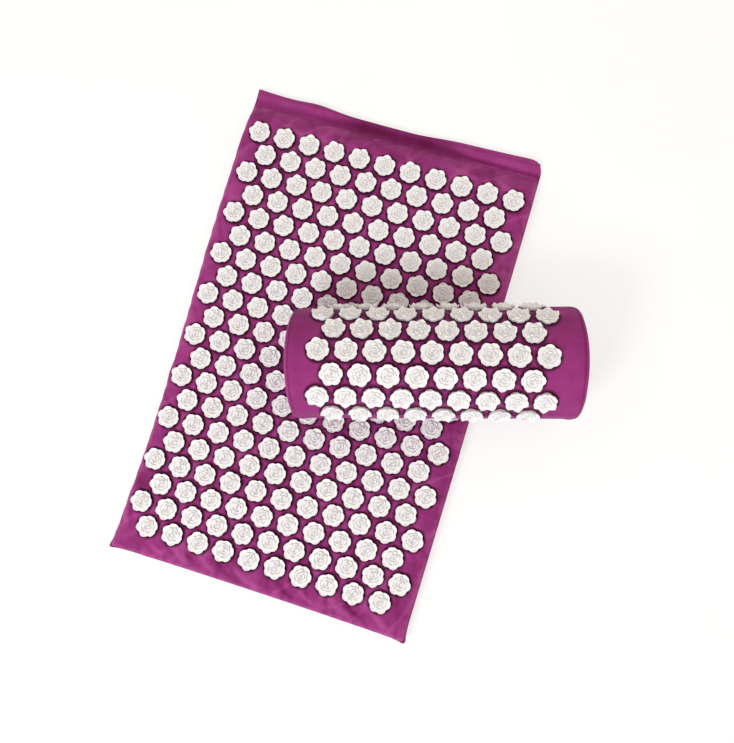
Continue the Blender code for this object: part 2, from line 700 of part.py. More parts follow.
def make_zip_tape(name, side, materials, pillow):
    """A tape sewn in level with the cloth, with a raised bead of teeth between the two stops."""
    mesh = bmesh.new()
    teeth = zip_teeth(side)
    inner, outer = teeth[0][1], side * ZIP_TAPE_WIDTH
    under = -ZIP_TAPE_THICKNESS
    section = [(inner, under), (inner, 0.0), (outer, 0.0), (outer, under)]
    low = add_row(mesh, [on_flank(x, y, under) for x, y in teeth])
    high = add_row(mesh, [on_flank(x, y, ZIP_BEAD_HEIGHT) for x, y in teeth])
    ends, tops, backs = [], [], []
    for end, step in ((0, -1), (-1, 1)):
        x = teeth[end][0]
        level = mesh.verts.new(on_flank(x, inner, 0.0))
        back = add_row(mesh, [on_flank(x, side * ZIP_BEAD_WIDTH, out) for out in (0.0, ZIP_BEAD_HEIGHT)])
        mesh.faces.new((level, high[end], back[1], back[0]))
        mesh.faces.new((low[end], low[end - step], high[end - step], high[end], level))
        rings = []
        for offset in reversed(roll_offsets(0.0, END_ROLL)):
            corners = [(step * (pillow_half_length(flank_angle(across)) - offset), across, out)
                       for across, out in section]
            rings.append(add_row(mesh, [on_flank(*corner) for corner in corners]))
        for first, second in zip(rings, rings[1:]):
            quads_between(mesh, first, second, loop=True)
        mesh.faces.new(rings[-1])
        mesh.faces.new((low[end], level, rings[0][1], rings[0][0]))
        ends.append(rings[0])
        tops.append(level)
        backs.append(back)
    left, right = ends
    quads_between(mesh, low[1:-1], high[1:-1])
    mesh.faces.new([left[0], *low, right[0], right[3], left[3]])
    mesh.faces.new([*high, backs[1][1], backs[0][1]])
    mesh.faces.new([backs[0][0], backs[0][1], backs[1][1], backs[1][0]])
    mesh.faces.new([left[1], tops[0], backs[0][0], backs[1][0], tops[1], right[1], right[2], left[2]])
    mesh.faces.new([left[2], left[3], right[3], right[2]])
    return add_object(name, mesh, [materials["zip_tape"]], pillow, smooth=False)


def channel_profile():
    """(across, out) outline of a clip that straddles both beads, clear of them and of the tapes."""
    inner, outer = ZIP_BEAD_WIDTH + GAP, ZIP_BEAD_WIDTH + GAP + SLIDER_WALL
    roof = ZIP_BEAD_HEIGHT + GAP
    return [(-outer, GAP), (-inner, GAP), (-inner, roof), (inner, roof), (inner, GAP), (outer, GAP),
            (outer, SLIDER_TOP), (-outer, SLIDER_TOP)]


def add_channel(mesh, stations):
    """The clip's outline swept through (x, share of its width) stations and capped."""
    inner = ZIP_BEAD_WIDTH + GAP
    rows = []
    for x, share in stations:
        profile = [(y if abs(y) <= inner else math.copysign(blend(inner, abs(y), share), y), z)
                   for y, z in channel_profile()]
        rows.append(add_row(mesh, [(x, y, z) for y, z in profile]))
    for first, second in zip(rows, rows[1:]):
        quads_between(mesh, first, second, loop=True)
    mesh.faces.new(rows[0])
    mesh.faces.new(rows[-1])


def make_zip_stop(name, side, materials, pillow):
    """A clip crimped over both beads at one end of the teeth, which the slider runs up against."""
    mesh = bmesh.new()
    add_channel(mesh, [(-STOP_LENGTH / 2, 1.0), (STOP_LENGTH / 2, 1.0)])
    stop = add_object(name, mesh, [materials["zip_metal"]], pillow, smooth=False)
    stop.location = on_flank(side * (ZIP_LENGTH - STOP_LENGTH) / 2, 0.0, 0.0)
    stop.rotation_euler = (ZIP_ANGLE, 0.0, 0.0)


def make_bridge(materials, slider):
    """The arch on the slider's back, a helper that is united with the slider."""
    outline = []
    for inset, order in ((0.0, 1), (BRIDGE_WALL, -1)):
        half, high = BRIDGE_HALF_SPAN - inset, BRIDGE_TOP - inset
        rise = [(half, SLIDER_TOP - SLIDER_WALL / 2), (half, high - BRIDGE_BEND), (half - BRIDGE_BEND, high)]
        arch = rise + [(-x, z) for x, z in reversed(rise)]
        outline += arch[::order]
    mesh = bmesh.new()
    count = len(outline)
    faces = [(k, k + 1, count - 2 - k, count - 1 - k) for k in range(count // 2 - 1)]
    middle = BRIDGE_WIDTH / 2
    add_plate(mesh, outline, faces, [range(count)], lambda x, z, y: (x, y - middle, z), BRIDGE_WIDTH)
    bridge = add_object("zip_slider_bridge", mesh, [materials["zip_metal"]], slider, smooth=False)
    bridge.hide_render = True
    bridge.display_type = "WIRE"
    return bridge


def make_zip_slider(materials, pillow):
    """The slider straddles both beads, and its arch carries the pull. Its origin is its own middle."""
    mesh = bmesh.new()
    half = SLIDER_LENGTH / 2
    add_channel(mesh, [(-half, SLIDER_TAPER_SHARE), (SLIDER_TAPER - half, 1.0), (half, 1.0)])
    slider = add_object("zip_slider", mesh, [materials["zip_metal"]], pillow, smooth=False)
    slider.location = on_flank(SLIDER_REST, 0.0, 0.0)
    slider.rotation_euler = (ZIP_ANGLE, 0.0, 0.0)
    union = slider.modifiers.new("bridge", "BOOLEAN")
    union.operation = "UNION"
    union.object = make_bridge(materials, slider)
    return slider


def make_zip_pull(materials, slider):
    """A tab whose eye goes round the arch. The origin is in its crossbar, which lies under the arch."""
    bar = PULL_THICKNESS / 2
    eye = BRIDGE_HALF_SPAN + BRIDGE_WALL + PULL_SIDE_PLAY
    side, hole = PULL_WIDTH / 2, BRIDGE_WIDTH / 2 + PULL_SIDE_PLAY
    tail = bar - PULL_LENGTH
    frame = [(bar, -side), (bar, side), (-eye - PULL_THICKNESS, side), (-eye - PULL_THICKNESS, -side)]
    gap = [(-bar, -hole), (-bar, hole), (-eye, hole), (-eye, -hole)]
    tab = [(tail + side / 2, side), (tail, side / 2), (tail, -side / 2), (tail + side / 2, -side)]
    faces = [(0, 1, 5, 4), (1, 2, 6, 5), (2, 3, 7, 6), (3, 0, 4, 7), (2, 8, 9, 10, 11, 3)]
    mesh = bmesh.new()
    add_plate(mesh, frame + gap + tab, faces, [(0, 1, 2, 8, 9, 10, 11, 3), (4, 5, 6, 7)],
              lambda x, y, z: (x, y, z - bar), PULL_THICKNESS)
    pull = add_object("zip_pull", mesh, [materials["zip_metal"]], slider, smooth=False)
    pull.location = (0.0, 0.0, PULL_AXIS_HEIGHT)
    return pull


def build():
    clear_scene()
    materials = make_materials()
    make_mat_top_panel(materials)
    make_mat_bottom_panel(materials)
    make_mat_foam(materials)
    make_closure_flap(materials)
    make_closure_tape("closure_loop_strip", materials["loop_tape"], CLOTH + GAP)
    make_closure_tape("closure_hook_strip", materials["hook_tape"], CLOTH + TAPE_THICKNESS + 2 * GAP)
    pillow = add_empty("pillow", (PILLOW_X, PILLOW_Y, PILLOW_SEAT), (0.0, 0.0, PILLOW_TURN))
    make_pillow_wrap_panel(materials, pillow)
    make_pillow_base_panel(materials, pillow)
    make_pillow_end("pillow_end_left", -1, materials, pillow)
    make_pillow_end("pillow_end_right", 1, materials, pillow)
    make_pillow_foam(materials, pillow)
    make_zip_tape("zip_tape_upper", 1, materials, pillow)
    make_zip_tape("zip_tape_lower", -1, materials, pillow)
    make_zip_stop("zip_stop_left", -1, materials, pillow)
    make_zip_stop("zip_stop_right", 1, materials, pillow)
    slider = make_zip_slider(materials, pillow)
    make_zip_pull(materials, slider)


build()
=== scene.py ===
"""Dressing of the acupressure mat and its neck pillow.

Cotton covers that are puffed over their foam, closure tapes, a zip, thread, and the rosette discs.
Lengths are in metres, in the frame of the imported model: +Z is up, +Y runs to the mat's closure.
"""

import math

import bmesh
import bpy
import numpy as np
from mathutils import Matrix, Vector, noise


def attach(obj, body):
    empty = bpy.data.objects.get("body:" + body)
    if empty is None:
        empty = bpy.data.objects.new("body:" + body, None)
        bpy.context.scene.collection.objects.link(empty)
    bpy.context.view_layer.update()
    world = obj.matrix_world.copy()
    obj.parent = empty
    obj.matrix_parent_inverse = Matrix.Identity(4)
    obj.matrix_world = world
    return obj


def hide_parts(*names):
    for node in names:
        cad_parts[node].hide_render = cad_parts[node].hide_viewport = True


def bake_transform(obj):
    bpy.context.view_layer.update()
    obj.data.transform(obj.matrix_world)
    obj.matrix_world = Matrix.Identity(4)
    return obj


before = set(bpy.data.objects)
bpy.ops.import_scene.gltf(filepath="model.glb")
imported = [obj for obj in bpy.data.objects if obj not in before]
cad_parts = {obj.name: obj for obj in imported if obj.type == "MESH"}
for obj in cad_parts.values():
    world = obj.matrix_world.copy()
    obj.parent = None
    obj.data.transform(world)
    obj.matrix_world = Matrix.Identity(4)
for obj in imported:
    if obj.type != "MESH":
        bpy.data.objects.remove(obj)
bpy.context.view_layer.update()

# Sizes that the model was cut to
CLOTH, CLOTH_WALL = 0.001, 0.0009
GAP = 0.0003
MAT_LENGTH, MAT_WIDTH, MAT_THICKNESS, MAT_CROWN = 0.664, 0.412, 0.022, 0.001
EDGE_ROLL, SEAM_RUN = 0.009, 0.050
SIDE_DRAW, SIDE_SWELL, SIDE_SWAY, FOOT_DRAW = 0.0030, 0.0012, 0.0030, 0.0015
LIP_WIDTH, LIP_DRAW, CLOSURE_ROLL = 0.0245, 0.005, 0.012
LIP_TOP, MID_SEAM = 0.0053, 0.011
CLOSURE_SLOPE, CLOSURE_VALLEY = 0.025, 0.006
FOOT_EAR, HEAD_EAR, HEAD_ROUND, CORNER_REACH, EAR_TIP = 0.0030, 0.0008, -0.0045, 0.009, 0.0014
HEAD = MAT_LENGTH / 2
CREASE = HEAD - LIP_WIDTH
TAPE_WIDTH, TAPE_THICKNESS, TAPE_END_MARGIN = 0.012, 0.0012, 0.020
DISC_RADIUS, LOBE_DEPTH, DISC_HEIGHT = 0.01378, 0.00098, 0.007
HELD_RADIUS, RIM_DIP_RADIUS, RIM_DIP_WIDTH = 0.0115, 0.0142, 0.0022
TURN_PER_DISC = math.radians(137.5)
MAT_PITCH, MAT_ROW_STEP, MAT_LONG_ROW, MAT_ROWS = 0.036, 0.0293, 11, 20
MAT_FIELD_MIDDLE = -0.0121
PILLOW_LENGTH, PILLOW_RADIUS, PILLOW_HEIGHT, CORNER_POWER = 0.362, 0.071, 0.100, 12
AXIS_HEIGHT = PILLOW_HEIGHT - PILLOW_RADIUS
END_LEAN, END_CROWN, END_ROLL, END_ROLL_DEPTH = 0.0055, 0.0025, 0.012, 0.003
PILLOW_PITCH, PILLOW_ROW_STEP, PILLOW_LONG_ROW, PILLOW_ROWS = 0.0343, 0.0283, 9, 7
PILLOW_FIELD_SHIFT, PILLOW_FIELD_TURN, PILLOW_FIELD_SKEW = -0.003, math.radians(-4.4), math.radians(2)
SEAM_HEIGHT, ZIP_HEIGHT = 0.0047, 0.0203
FRONT_SEAM_ANGLE = math.pi / 2 + math.asin((AXIS_HEIGHT - SEAM_HEIGHT) / PILLOW_RADIUS)
ZIP_ANGLE = -math.pi / 2 - math.asin((AXIS_HEIGHT - ZIP_HEIGHT) / PILLOW_RADIUS)
ZIP_TAPE_WIDTH = 0.0084
ZIP_HALF_ANGLE = (ZIP_TAPE_WIDTH + GAP) / PILLOW_RADIUS
ZIP_LENGTH = 0.300
PILLOW_PLACE = Matrix.Translation((0.1418, 0.0232, 0.0303)) @ Matrix.Rotation(math.radians(16.65), 4, "Z")


# Node trees
class Wiring:
    """Adds nodes to one tree and joins them."""

    def __init__(self, tree):
        self.tree = tree

    def feed(self, socket, value):
        if isinstance(value, bpy.types.NodeSocket):
            self.tree.links.new(value, socket)
        else:
            socket.default_value = value

    def add(self, kind, feeds=None, **settings):
        node = self.tree.nodes.new(kind)
        for name, value in settings.items():
            setattr(node, name, value)
        for name, value in (feeds or {}).items():
            self.feed(node.inputs[name], value)
        return node

    def math(self, operation, *values):
        node = self.add("ShaderNodeMath", operation=operation)
        for socket, value in zip(node.inputs, values):
            self.feed(socket, value)
        return node.outputs[0]

    def total(self, *values):
        out = values[0]
        for value in values[1:]:
            out = self.math("ADD", out, value)
        return out

    def product(self, *values):
        out = values[0]
        for value in values[1:]:
            out = self.math("MULTIPLY", out, value)
        return out

    def spread(self, value, low, high, to_low=0.0, to_high=1.0):
        node = self.add("ShaderNodeMapRange", {"Value": value, "From Min": low, "From Max": high,
                                               "To Min": to_low, "To Max": to_high})
        return node.outputs["Result"]

    def mix(self, share, first, second):
        node = self.add("ShaderNodeMix", data_type="RGBA")
        self.feed(node.inputs["Factor"], share)
        self.feed(node.inputs[6], first)
        self.feed(node.inputs[7], second)
        return node.outputs[2]

    def parts(self, vector):
        node = self.add("ShaderNodeSeparateXYZ", {"Vector": vector})
        return node.outputs[0], node.outputs[1], node.outputs[2]

    def vector(self, x, y, z):
        node = self.add("ShaderNodeCombineXYZ")
        for socket, value in zip(node.inputs, (x, y, z)):
            self.feed(socket, value)
        return node.outputs[0]

    def noise(self, place, scale, detail=2.0, roughness=0.5, stretch=None):
        if stretch:
            mapping = self.add("ShaderNodeMapping", {"Vector": place})
            mapping.inputs["Scale"].default_value = stretch
            place = mapping.outputs[0]
        node = self.add("ShaderNodeTexNoise", {"Vector": place, "Scale": scale, "Detail": detail,
                                               "Roughness": roughness})
        return node.outputs[0]


def new_tree(name, kind, inputs, outputs):
    """A node group with named sockets, and its wiring, inputs and output node."""
    tree = bpy.data.node_groups.new(name, kind)
    for label, socket, start in inputs:
        item = tree.interface.new_socket(name=label, in_out="INPUT", socket_type=socket)
        if start is not None:
            item.default_value = start
    for label, socket in outputs:
        tree.interface.new_socket(name=label, in_out="OUTPUT", socket_type=socket)
    wiring = Wiring(tree)
    start = tree.nodes.new("NodeGroupInput")
    end = tree.nodes.new("NodeGroupOutput")
    return tree, wiring, start.outputs, end.inputs


# Effects that several materials share
WARP_SHARE = 0.6
SLUB_SCALE, MOTTLE_SCALE, CRUMPLE_SCALE, FIBRE_SCALE = 260.0, 24.0, 55.0, 170.0
SLUBS_ALONG, SLUBS_ACROSS, CRUMPLE_STRETCH = (1.0, 0.12, 1.0), (0.12, 1.0, 1.0), (1.0, 0.55, 1.0)
MOTTLE_TONE, SLUB_TONE, THREAD_TONE = 1.6, 0.9, 0.25
CLOTH_ROUGHNESS, FIBRE_ROUGHNESS = 0.86, 0.16
THREAD_RELIEF, FIBRE_RELIEF = 0.03, 0.30


def make_weave_group():
    """Plain-weave cotton: thread relief, slubs, faint crumple, and the tint that goes with them."""
    tree, w, given, out = new_tree(
        "woven cloth", "ShaderNodeTree",
        [("Place", "NodeSocketVector", None), ("Colour", "NodeSocketColor", None),
         ("Thread", "NodeSocketFloat", 0.0005), ("Mottle", "NodeSocketFloat", 0.12),
         ("Crumple", "NodeSocketFloat", 1.0)],
        [("Colour", "NodeSocketColor"), ("Roughness", "NodeSocketFloat"), ("Height", "NodeSocketFloat")])
    u, v, _ = w.parts(given["Place"])
    rate = w.math("DIVIDE", math.pi, given["Thread"])
    warp = w.math("SINE", w.product(u, rate))
    weft = w.math("SINE", w.product(v, rate))
    weave = w.product(warp, weft)
    threads = w.total(w.product(w.math("MULTIPLY", weave, weave), WARP_SHARE),
                      w.product(weave, 1.0 - WARP_SHARE))
    slub = w.noise(given["Place"], SLUB_SCALE, 2.0, 0.6, SLUBS_ALONG)
    slub_across = w.noise(given["Place"], SLUB_SCALE, 2.0, 0.6, SLUBS_ACROSS)
    broad = w.noise(given["Place"], MOTTLE_SCALE, 3.0, 0.55)
    crumple = w.noise(given["Place"], CRUMPLE_SCALE, 3.0, 0.55, CRUMPLE_STRETCH)
    fine = w.noise(given["Place"], FIBRE_SCALE, 2.0, 0.5)
    tone = w.total(w.product(w.math("SUBTRACT", broad, 0.5), MOTTLE_TONE),
                   w.product(w.math("SUBTRACT", slub, 0.5), SLUB_TONE),
                   w.product(w.math("SUBTRACT", slub_across, 0.5), SLUB_TONE),
                   w.product(threads, THREAD_TONE))
    light = w.total(1.0, w.product(tone, given["Mottle"]))
    scaled = w.add("ShaderNodeVectorMath", {0: given["Colour"]}, operation="SCALE")
    w.feed(scaled.inputs["Scale"], light)
    w.feed(out["Colour"], scaled.outputs[0])
    w.feed(out["Roughness"],
           w.total(CLOTH_ROUGHNESS, w.product(w.math("SUBTRACT", fine, 0.5), FIBRE_ROUGHNESS)))
    relief = w.total(w.product(threads, THREAD_RELIEF), w.product(slub, THREAD_RELIEF),
                     w.product(slub_across, THREAD_RELIEF),
                     w.product(w.total(crumple, w.product(fine, FIBRE_RELIEF)), given["Crumple"]))
    w.feed(out["Height"], relief)
    return tree


SCRATCH_STRETCH, DIRT_FROM, DIRT_TO = (0.15, 3.0, 1.0), 0.35, 0.75
SMOOTHED, SCUFFED = -0.06, 0.08


def make_wear_group():
    """Fine scuffs and a slight grime in seeded patches."""
    tree, w, given, out = new_tree(
        "scuffs and grime", "ShaderNodeTree",
        [("Place", "NodeSocketVector", None), ("Colour", "NodeSocketColor", None),
         ("Grime", "NodeSocketFloat", 0.1), ("Scale", "NodeSocketFloat", 400.0)],
        [("Colour", "NodeSocketColor"), ("Roughness", "NodeSocketFloat"), ("Height", "NodeSocketFloat")])
    coarse = w.noise(given["Place"], given["Scale"], 3.0, 0.6)
    scratch = w.noise(given["Place"], given["Scale"], 2.0, 0.7, SCRATCH_STRETCH)
    dirt = w.spread(coarse, DIRT_FROM, DIRT_TO)
    light = w.math("SUBTRACT", 1.0, w.product(dirt, given["Grime"]))
    scaled = w.add("ShaderNodeVectorMath", {0: given["Colour"]}, operation="SCALE")
    w.feed(scaled.inputs["Scale"], light)
    w.feed(out["Colour"], scaled.outputs[0])
    w.feed(out["Roughness"], w.spread(scratch, 0.3, 0.7, SMOOTHED, SCUFFED))
    w.feed(out["Height"], w.total(coarse, w.product(scratch, 0.5)))
    return tree


# Painted shade in a ring under each disc's rim and in folds, and a painted highlight on ridges: where the ring
# lies, its tints and their shares
SHADE_STARTS, SHADE_ENDS = (0.009, 0.012), (0.0150, 0.0182)
UNSHADED, RIM_SHADE, FOLD_SHADE = (1.0, 1.0, 1.0, 1.0), (0.12, 0.0, 0.07, 1.0), (0.34, 0.0, 0.22, 1.0)
RIDGE_HIGHLIGHT_SHARE, FOLD_SHADE_SHARE, DARKEST_FOLD_SHADE = 0.5, 0.60, 0.95


def make_painted_shade_group():
    """Painted shade and highlight on cloth: a ring of painted shade under each disc's rim, painted shade in
    folds, and a painted highlight that pales the ridges.

    Near is the distance to the nearest disc's middle. Tone is below 0 in a fold and above 0 on a ridge.
    """
    tree, w, given, out = new_tree(
        "painted shade and highlight", "ShaderNodeTree",
        [("Near", "NodeSocketFloat", 1.0), ("Painted Light", "NodeSocketFloat", 0.0),
         ("Colour", "NodeSocketColor", None), ("Pale", "NodeSocketColor", None),
         ("Depth", "NodeSocketFloat", 0.6)],
        [("Colour", "NodeSocketColor")])
    under = w.spread(given["Near"], *SHADE_STARTS)
    outside = w.spread(given["Near"], *SHADE_ENDS, 1.0, 0.0)
    ring = w.product(under, outside, given["Depth"])
    ridge = w.product(w.math("MAXIMUM", given["Painted Light"], 0.0), RIDGE_HIGHLIGHT_SHARE)
    highlighted = w.mix(ridge, given["Colour"], given["Pale"])
    fold = w.math("MINIMUM", w.product(w.math("MINIMUM", given["Painted Light"], 0.0), -FOLD_SHADE_SHARE), DARKEST_FOLD_SHADE)
    under_rim = w.mix(ring, UNSHADED, RIM_SHADE)
    in_fold = w.mix(fold, UNSHADED, FOLD_SHADE)
    tint = w.add("ShaderNodeVectorMath", {0: under_rim, 1: in_fold}, operation="MULTIPLY")
    dark = w.add("ShaderNodeVectorMath", {0: highlighted, 1: tint.outputs[0]}, operation="MULTIPLY")
    w.feed(out["Colour"], dark.outputs[0])
    return tree


WEAVE = make_weave_group()
WEAR = make_wear_group()
PAINTED_SHADE = make_painted_shade_group()


SHEEN_ROUGHNESS = 0.45


def new_material(name, roughness=None, metallic=0.0, sheen=0.0):
    material = bpy.data.materials.new(name)
    material.use_nodes = True
    wiring = Wiring(material.node_tree)
    shader = material.node_tree.nodes["Principled BSDF"]
    shader.inputs["Metallic"].default_value = metallic
    shader.inputs["Sheen Weight"].default_value = sheen
    shader.inputs["Sheen Roughness"].default_value = SHEEN_ROUGHNESS
    if roughness is not None:
        shader.inputs["Roughness"].default_value = roughness
    return material, wiring, shader


def bump(w, shader, height, depth):
    node = w.add("ShaderNodeBump", {"Height": height, "Distance": depth, "Strength": 1.0})
    w.feed(shader.inputs["Normal"], node.outputs[0])


# Colour of the painted highlight on ridges, and depth of the painted shade ring under disc rims
HIGHLIGHT_GAIN, HIGHLIGHT_LIFT, RIM_SHADE_DEPTH = 1.5, 0.05, 0.92
SHEEN_TINT, CLOTH_SPECULAR = (0.85, 0.75, 1.0, 1.0), 0.15


def cloth_material(name, colour, thread, mottle, crumple, depth, sheen=0.12):
    """Cotton whose pattern follows the piece's own cut, laid out in metres in its UV map."""
    material, w, shader = new_material(name, sheen=sheen)
    shader.inputs["Sheen Tint"].default_value = SHEEN_TINT
    shader.inputs["Specular IOR Level"].default_value = CLOTH_SPECULAR
    place = w.add("ShaderNodeUVMap", uv_map="cut").outputs[0]
    cloth = w.add("ShaderNodeGroup", node_tree=WEAVE)
    w.feed(cloth.inputs["Place"], place)
    w.feed(cloth.inputs["Colour"], (*colour, 1.0))
    w.feed(cloth.inputs["Thread"], thread)
    w.feed(cloth.inputs["Mottle"], mottle)
    w.feed(cloth.inputs["Crumple"], crumple)
    # Painted shade under disc rims and in folds, and a painted highlight on ridges, read from the near and tone
    # marks
    contact = w.add("ShaderNodeGroup", node_tree=PAINTED_SHADE)
    w.feed(contact.inputs["Near"], w.add("ShaderNodeAttribute", attribute_name="near").outputs["Fac"])
    w.feed(contact.inputs["Painted Light"], w.add("ShaderNodeAttribute", attribute_name="tone").outputs["Fac"])
    w.feed(contact.inputs["Colour"], cloth.outputs["Colour"])
    w.feed(contact.inputs["Pale"], tuple(HIGHLIGHT_GAIN * c + HIGHLIGHT_LIFT for c in colour) + (1.0,))
    w.feed(contact.inputs["Depth"], RIM_SHADE_DEPTH)
    w.feed(shader.inputs["Base Color"], contact.outputs["Colour"])
    w.feed(shader.inputs["Roughness"], cloth.outputs["Roughness"])
    bump(w, shader, cloth.outputs["Height"], depth)
    return material


def hard_material(name, colour, roughness, metallic, grime, scale, depth):
    """Moulded, cast or spun parts, marked by fine scuffs."""
    material, w, shader = new_material(name, metallic=metallic)
    place = w.add("ShaderNodeTexCoord").outputs["Object"]
    wear = w.add("ShaderNodeGroup", node_tree=WEAR)
    w.feed(wear.inputs["Place"], place)
    w.feed(wear.inputs["Colour"], (*colour, 1.0))
    w.feed(wear.inputs["Grime"], grime)
    w.feed(wear.inputs["Scale"], scale)
    w.feed(shader.inputs["Base Color"], wear.outputs["Colour"])
    w.feed(shader.inputs["Roughness"], w.total(roughness, wear.outputs["Roughness"]))
    bump(w, shader, wear.outputs["Height"], depth)
    return material


# Painted shade: the plastic's colour low down between the petals, and on their tips
PLASTIC_SHADED_BETWEEN, PLASTIC_TIPS = (0.85, 0.845, 0.845, 1.0), (0.92, 0.905, 0.915, 1.0)
BETWEEN_HEIGHT, TIP_HEIGHT = 0.0012, 0.0048
GLOW_WEIGHT, GLOW_DEPTH, GLOW_REACH = 0.35, 0.003, (1.0, 1.0, 0.95)
DISC_ROUGHNESS, DISC_GRIME, DISC_SCUFF_SCALE, DISC_SCUFF_DEPTH = 0.50, 0.05, 500.0, 0.00005


def disc_material():
    """White moulded plastic with painted shade low down between the petals, greyer there than on their tips."""
    material, w, shader = new_material("white rosette plastic")
    shader.inputs["Subsurface Weight"].default_value = GLOW_WEIGHT
    shader.inputs["Subsurface Radius"].default_value = GLOW_REACH
    shader.inputs["Subsurface Scale"].default_value = GLOW_DEPTH
    spot = w.add("ShaderNodeAttribute", attribute_name="spot").outputs["Vector"]
    _, _, high = w.parts(spot)
    wear = w.add("ShaderNodeGroup", node_tree=WEAR)
    w.feed(wear.inputs["Place"], w.add("ShaderNodeTexCoord").outputs["Object"])
    w.feed(wear.inputs["Grime"], DISC_GRIME)
    w.feed(wear.inputs["Scale"], DISC_SCUFF_SCALE)
    # Painted shade, greyer towards the petals' feet
    towards_tip = w.spread(high, BETWEEN_HEIGHT, TIP_HEIGHT)
    w.feed(wear.inputs["Colour"], w.mix(towards_tip, PLASTIC_SHADED_BETWEEN, PLASTIC_TIPS))
    w.feed(shader.inputs["Base Color"], wear.outputs["Colour"])
    w.feed(shader.inputs["Roughness"], w.total(DISC_ROUGHNESS, wear.outputs["Roughness"]))
    bump(w, shader, wear.outputs["Height"], DISC_SCUFF_DEPTH)
    return material


FOAM_PIT_SHADE, FOAM_SKIN, FOAM_AGED = (0.60, 0.56, 0.45, 1.0), (0.80, 0.77, 0.66, 1.0), (0.76, 0.70, 0.54, 1.0)
FOAM_ROUGHNESS, FOAM_CELL_SCALE, FOAM_AGED_SCALE, FOAM_PIT_DEPTH = 0.95, 620.0, 14.0, 0.0006


def foam_material():
    """Open-cell foam: round pits close together, with painted shade in the pits."""
    material, w, shader = new_material("cut foam", roughness=FOAM_ROUGHNESS)
    place = w.add("ShaderNodeTexCoord").outputs["Object"]
    cells = w.add("ShaderNodeTexVoronoi", {"Vector": place, "Scale": FOAM_CELL_SCALE}).outputs["Distance"]
    broad = w.noise(place, FOAM_AGED_SCALE, 3.0)
    # Painted shade: darker in the pits, where the bump sinks
    tone = w.mix(w.spread(cells, 0.1, 0.5), FOAM_PIT_SHADE, FOAM_SKIN)
    w.feed(shader.inputs["Base Color"], w.mix(w.spread(broad, 0.3, 0.7), tone, FOAM_AGED))
    bump(w, shader, cells, FOAM_PIT_DEPTH)
    return material


COTTON = (0.292, 0.032, 0.182)
LOOKS = {
    "mat_cotton": cloth_material("mat cotton", COTTON, thread=0.00055, mottle=0.30, crumple=1.0, depth=0.0042),
    "pillow_cotton": cloth_material("pillow cotton", COTTON, thread=0.00055, mottle=0.16, crumple=0.25,
                                    depth=0.0034),
    "disc_plastic": disc_material(),
    "foam": foam_material(),
    "hook_tape": cloth_material("hook tape", (0.16, 0.014, 0.10), thread=0.0008, mottle=0.2, crumple=0.2,
                                depth=0.0004, sheen=0.05),
    "loop_tape": cloth_material("loop tape", (0.20, 0.022, 0.13), thread=0.0008, mottle=0.3, crumple=0.4,
                                depth=0.0006, sheen=0.5),
    "zip_tape": cloth_material("zip tape", (0.17, 0.015, 0.10), thread=0.0007, mottle=0.2, crumple=0.1,
                               depth=0.0004, sheen=0.1),
    "zip_metal": hard_material("zip metal", (0.60, 0.60, 0.62), roughness=0.28, metallic=1.0, grime=0.12,
                               scale=900.0, depth=0.00003),
    "zip_teeth": hard_material("zip teeth", (0.19, 0.016, 0.115), roughness=0.40, metallic=0.0, grime=0.15,
                               scale=900.0, depth=0.00003),
    "thread": hard_material("sewing thread", (0.33, 0.04, 0.21), roughness=0.75, metallic=0.0, grime=0.25,
                            scale=2600.0, depth=0.00006),
}


# Mesh tools
def blend(low, high, share):
    return low + (high - low) * share


def roll(distance, width):
    share = np.clip(distance / width, 0.0, 1.0)
    return np.sqrt(1.0 - (1.0 - share) ** 2)


def ease(share):
    share = np.clip(share, 0.0, 1.0)
    return share * share * (3.0 - 2.0 * share)


def steps(first, last, most):
    count = max(1, math.ceil(abs(last - first) / most))
    return [blend(first, last, k / count) for k in range(count + 1)]


def new_piece(name, places, faces, materials, uvs=None, smooth=True):
    """A mesh object at the origin. uvs is one (u, v) for each place."""
    mesh = bpy.data.meshes.new(name)
    mesh.from_pydata([tuple(p) for p in places], [], [tuple(f) for f in faces])
    for material in materials:
        mesh.materials.append(material)
    if uvs is not None:
        layer = mesh.uv_layers.new(name="cut")
        corners = np.empty(len(mesh.loops), np.int32)
        mesh.loops.foreach_get("vertex_index", corners)
        layer.data.foreach_set("uv", np.asarray(uvs, np.float32)[corners].ravel())
    if smooth:
        mesh.shade_smooth()
    mesh.update()
    piece = bpy.data.objects.new(name, mesh)
    bpy.context.scene.collection.objects.link(piece)
    return piece


def net_faces(columns, rows):
    """Quads of a net whose places run row by row within each column."""
    return [(i * rows + k, (i + 1) * rows + k, (i + 1) * rows + k + 1, i * rows + k + 1)
            for i in range(columns - 1) for k in range(rows - 1)]


def closed_net_faces(columns, rows):
    """Quads of a net, of the same net turned over under it, and of the rim between the two."""
    count = columns * rows
    top = net_faces(columns, rows)
    under = [tuple(count + k for k in reversed(face)) for face in top]
    ring = [i * rows for i in range(columns)] + [(columns - 1) * rows + k for k in range(1, rows)]
    ring += [i * rows + rows - 1 for i in range(columns - 2, -1, -1)] + [k for k in range(rows - 2, 0, -1)]
    rim = [(a, count + a, count + b, b) for a, b in zip(ring, ring[1:] + ring[:1])]
    return top + under + rim


def skin_faces(along, around):
    """Quads of a skin made of rings of places, one ring after the other."""
    faces = []
    for i in range(along - 1):
        for k in range(around):
            j = (k + 1) % around
            faces.append((i * around + k, (i + 1) * around + k, (i + 1) * around + j, i * around + j))
    return faces


def strip_faces(stations, size):
    """Faces of a strip whose closed section of that many places is repeated at each station."""
    faces = []
    for i in range(stations - 1):
        for k in range(size):
            j = (k + 1) % size
            faces.append((i * size + k, i * size + j, (i + 1) * size + j, (i + 1) * size + k))
    faces.append(tuple(range(size)))
    faces.append(tuple((stations - 1) * size + k for k in reversed(range(size))))
    return faces


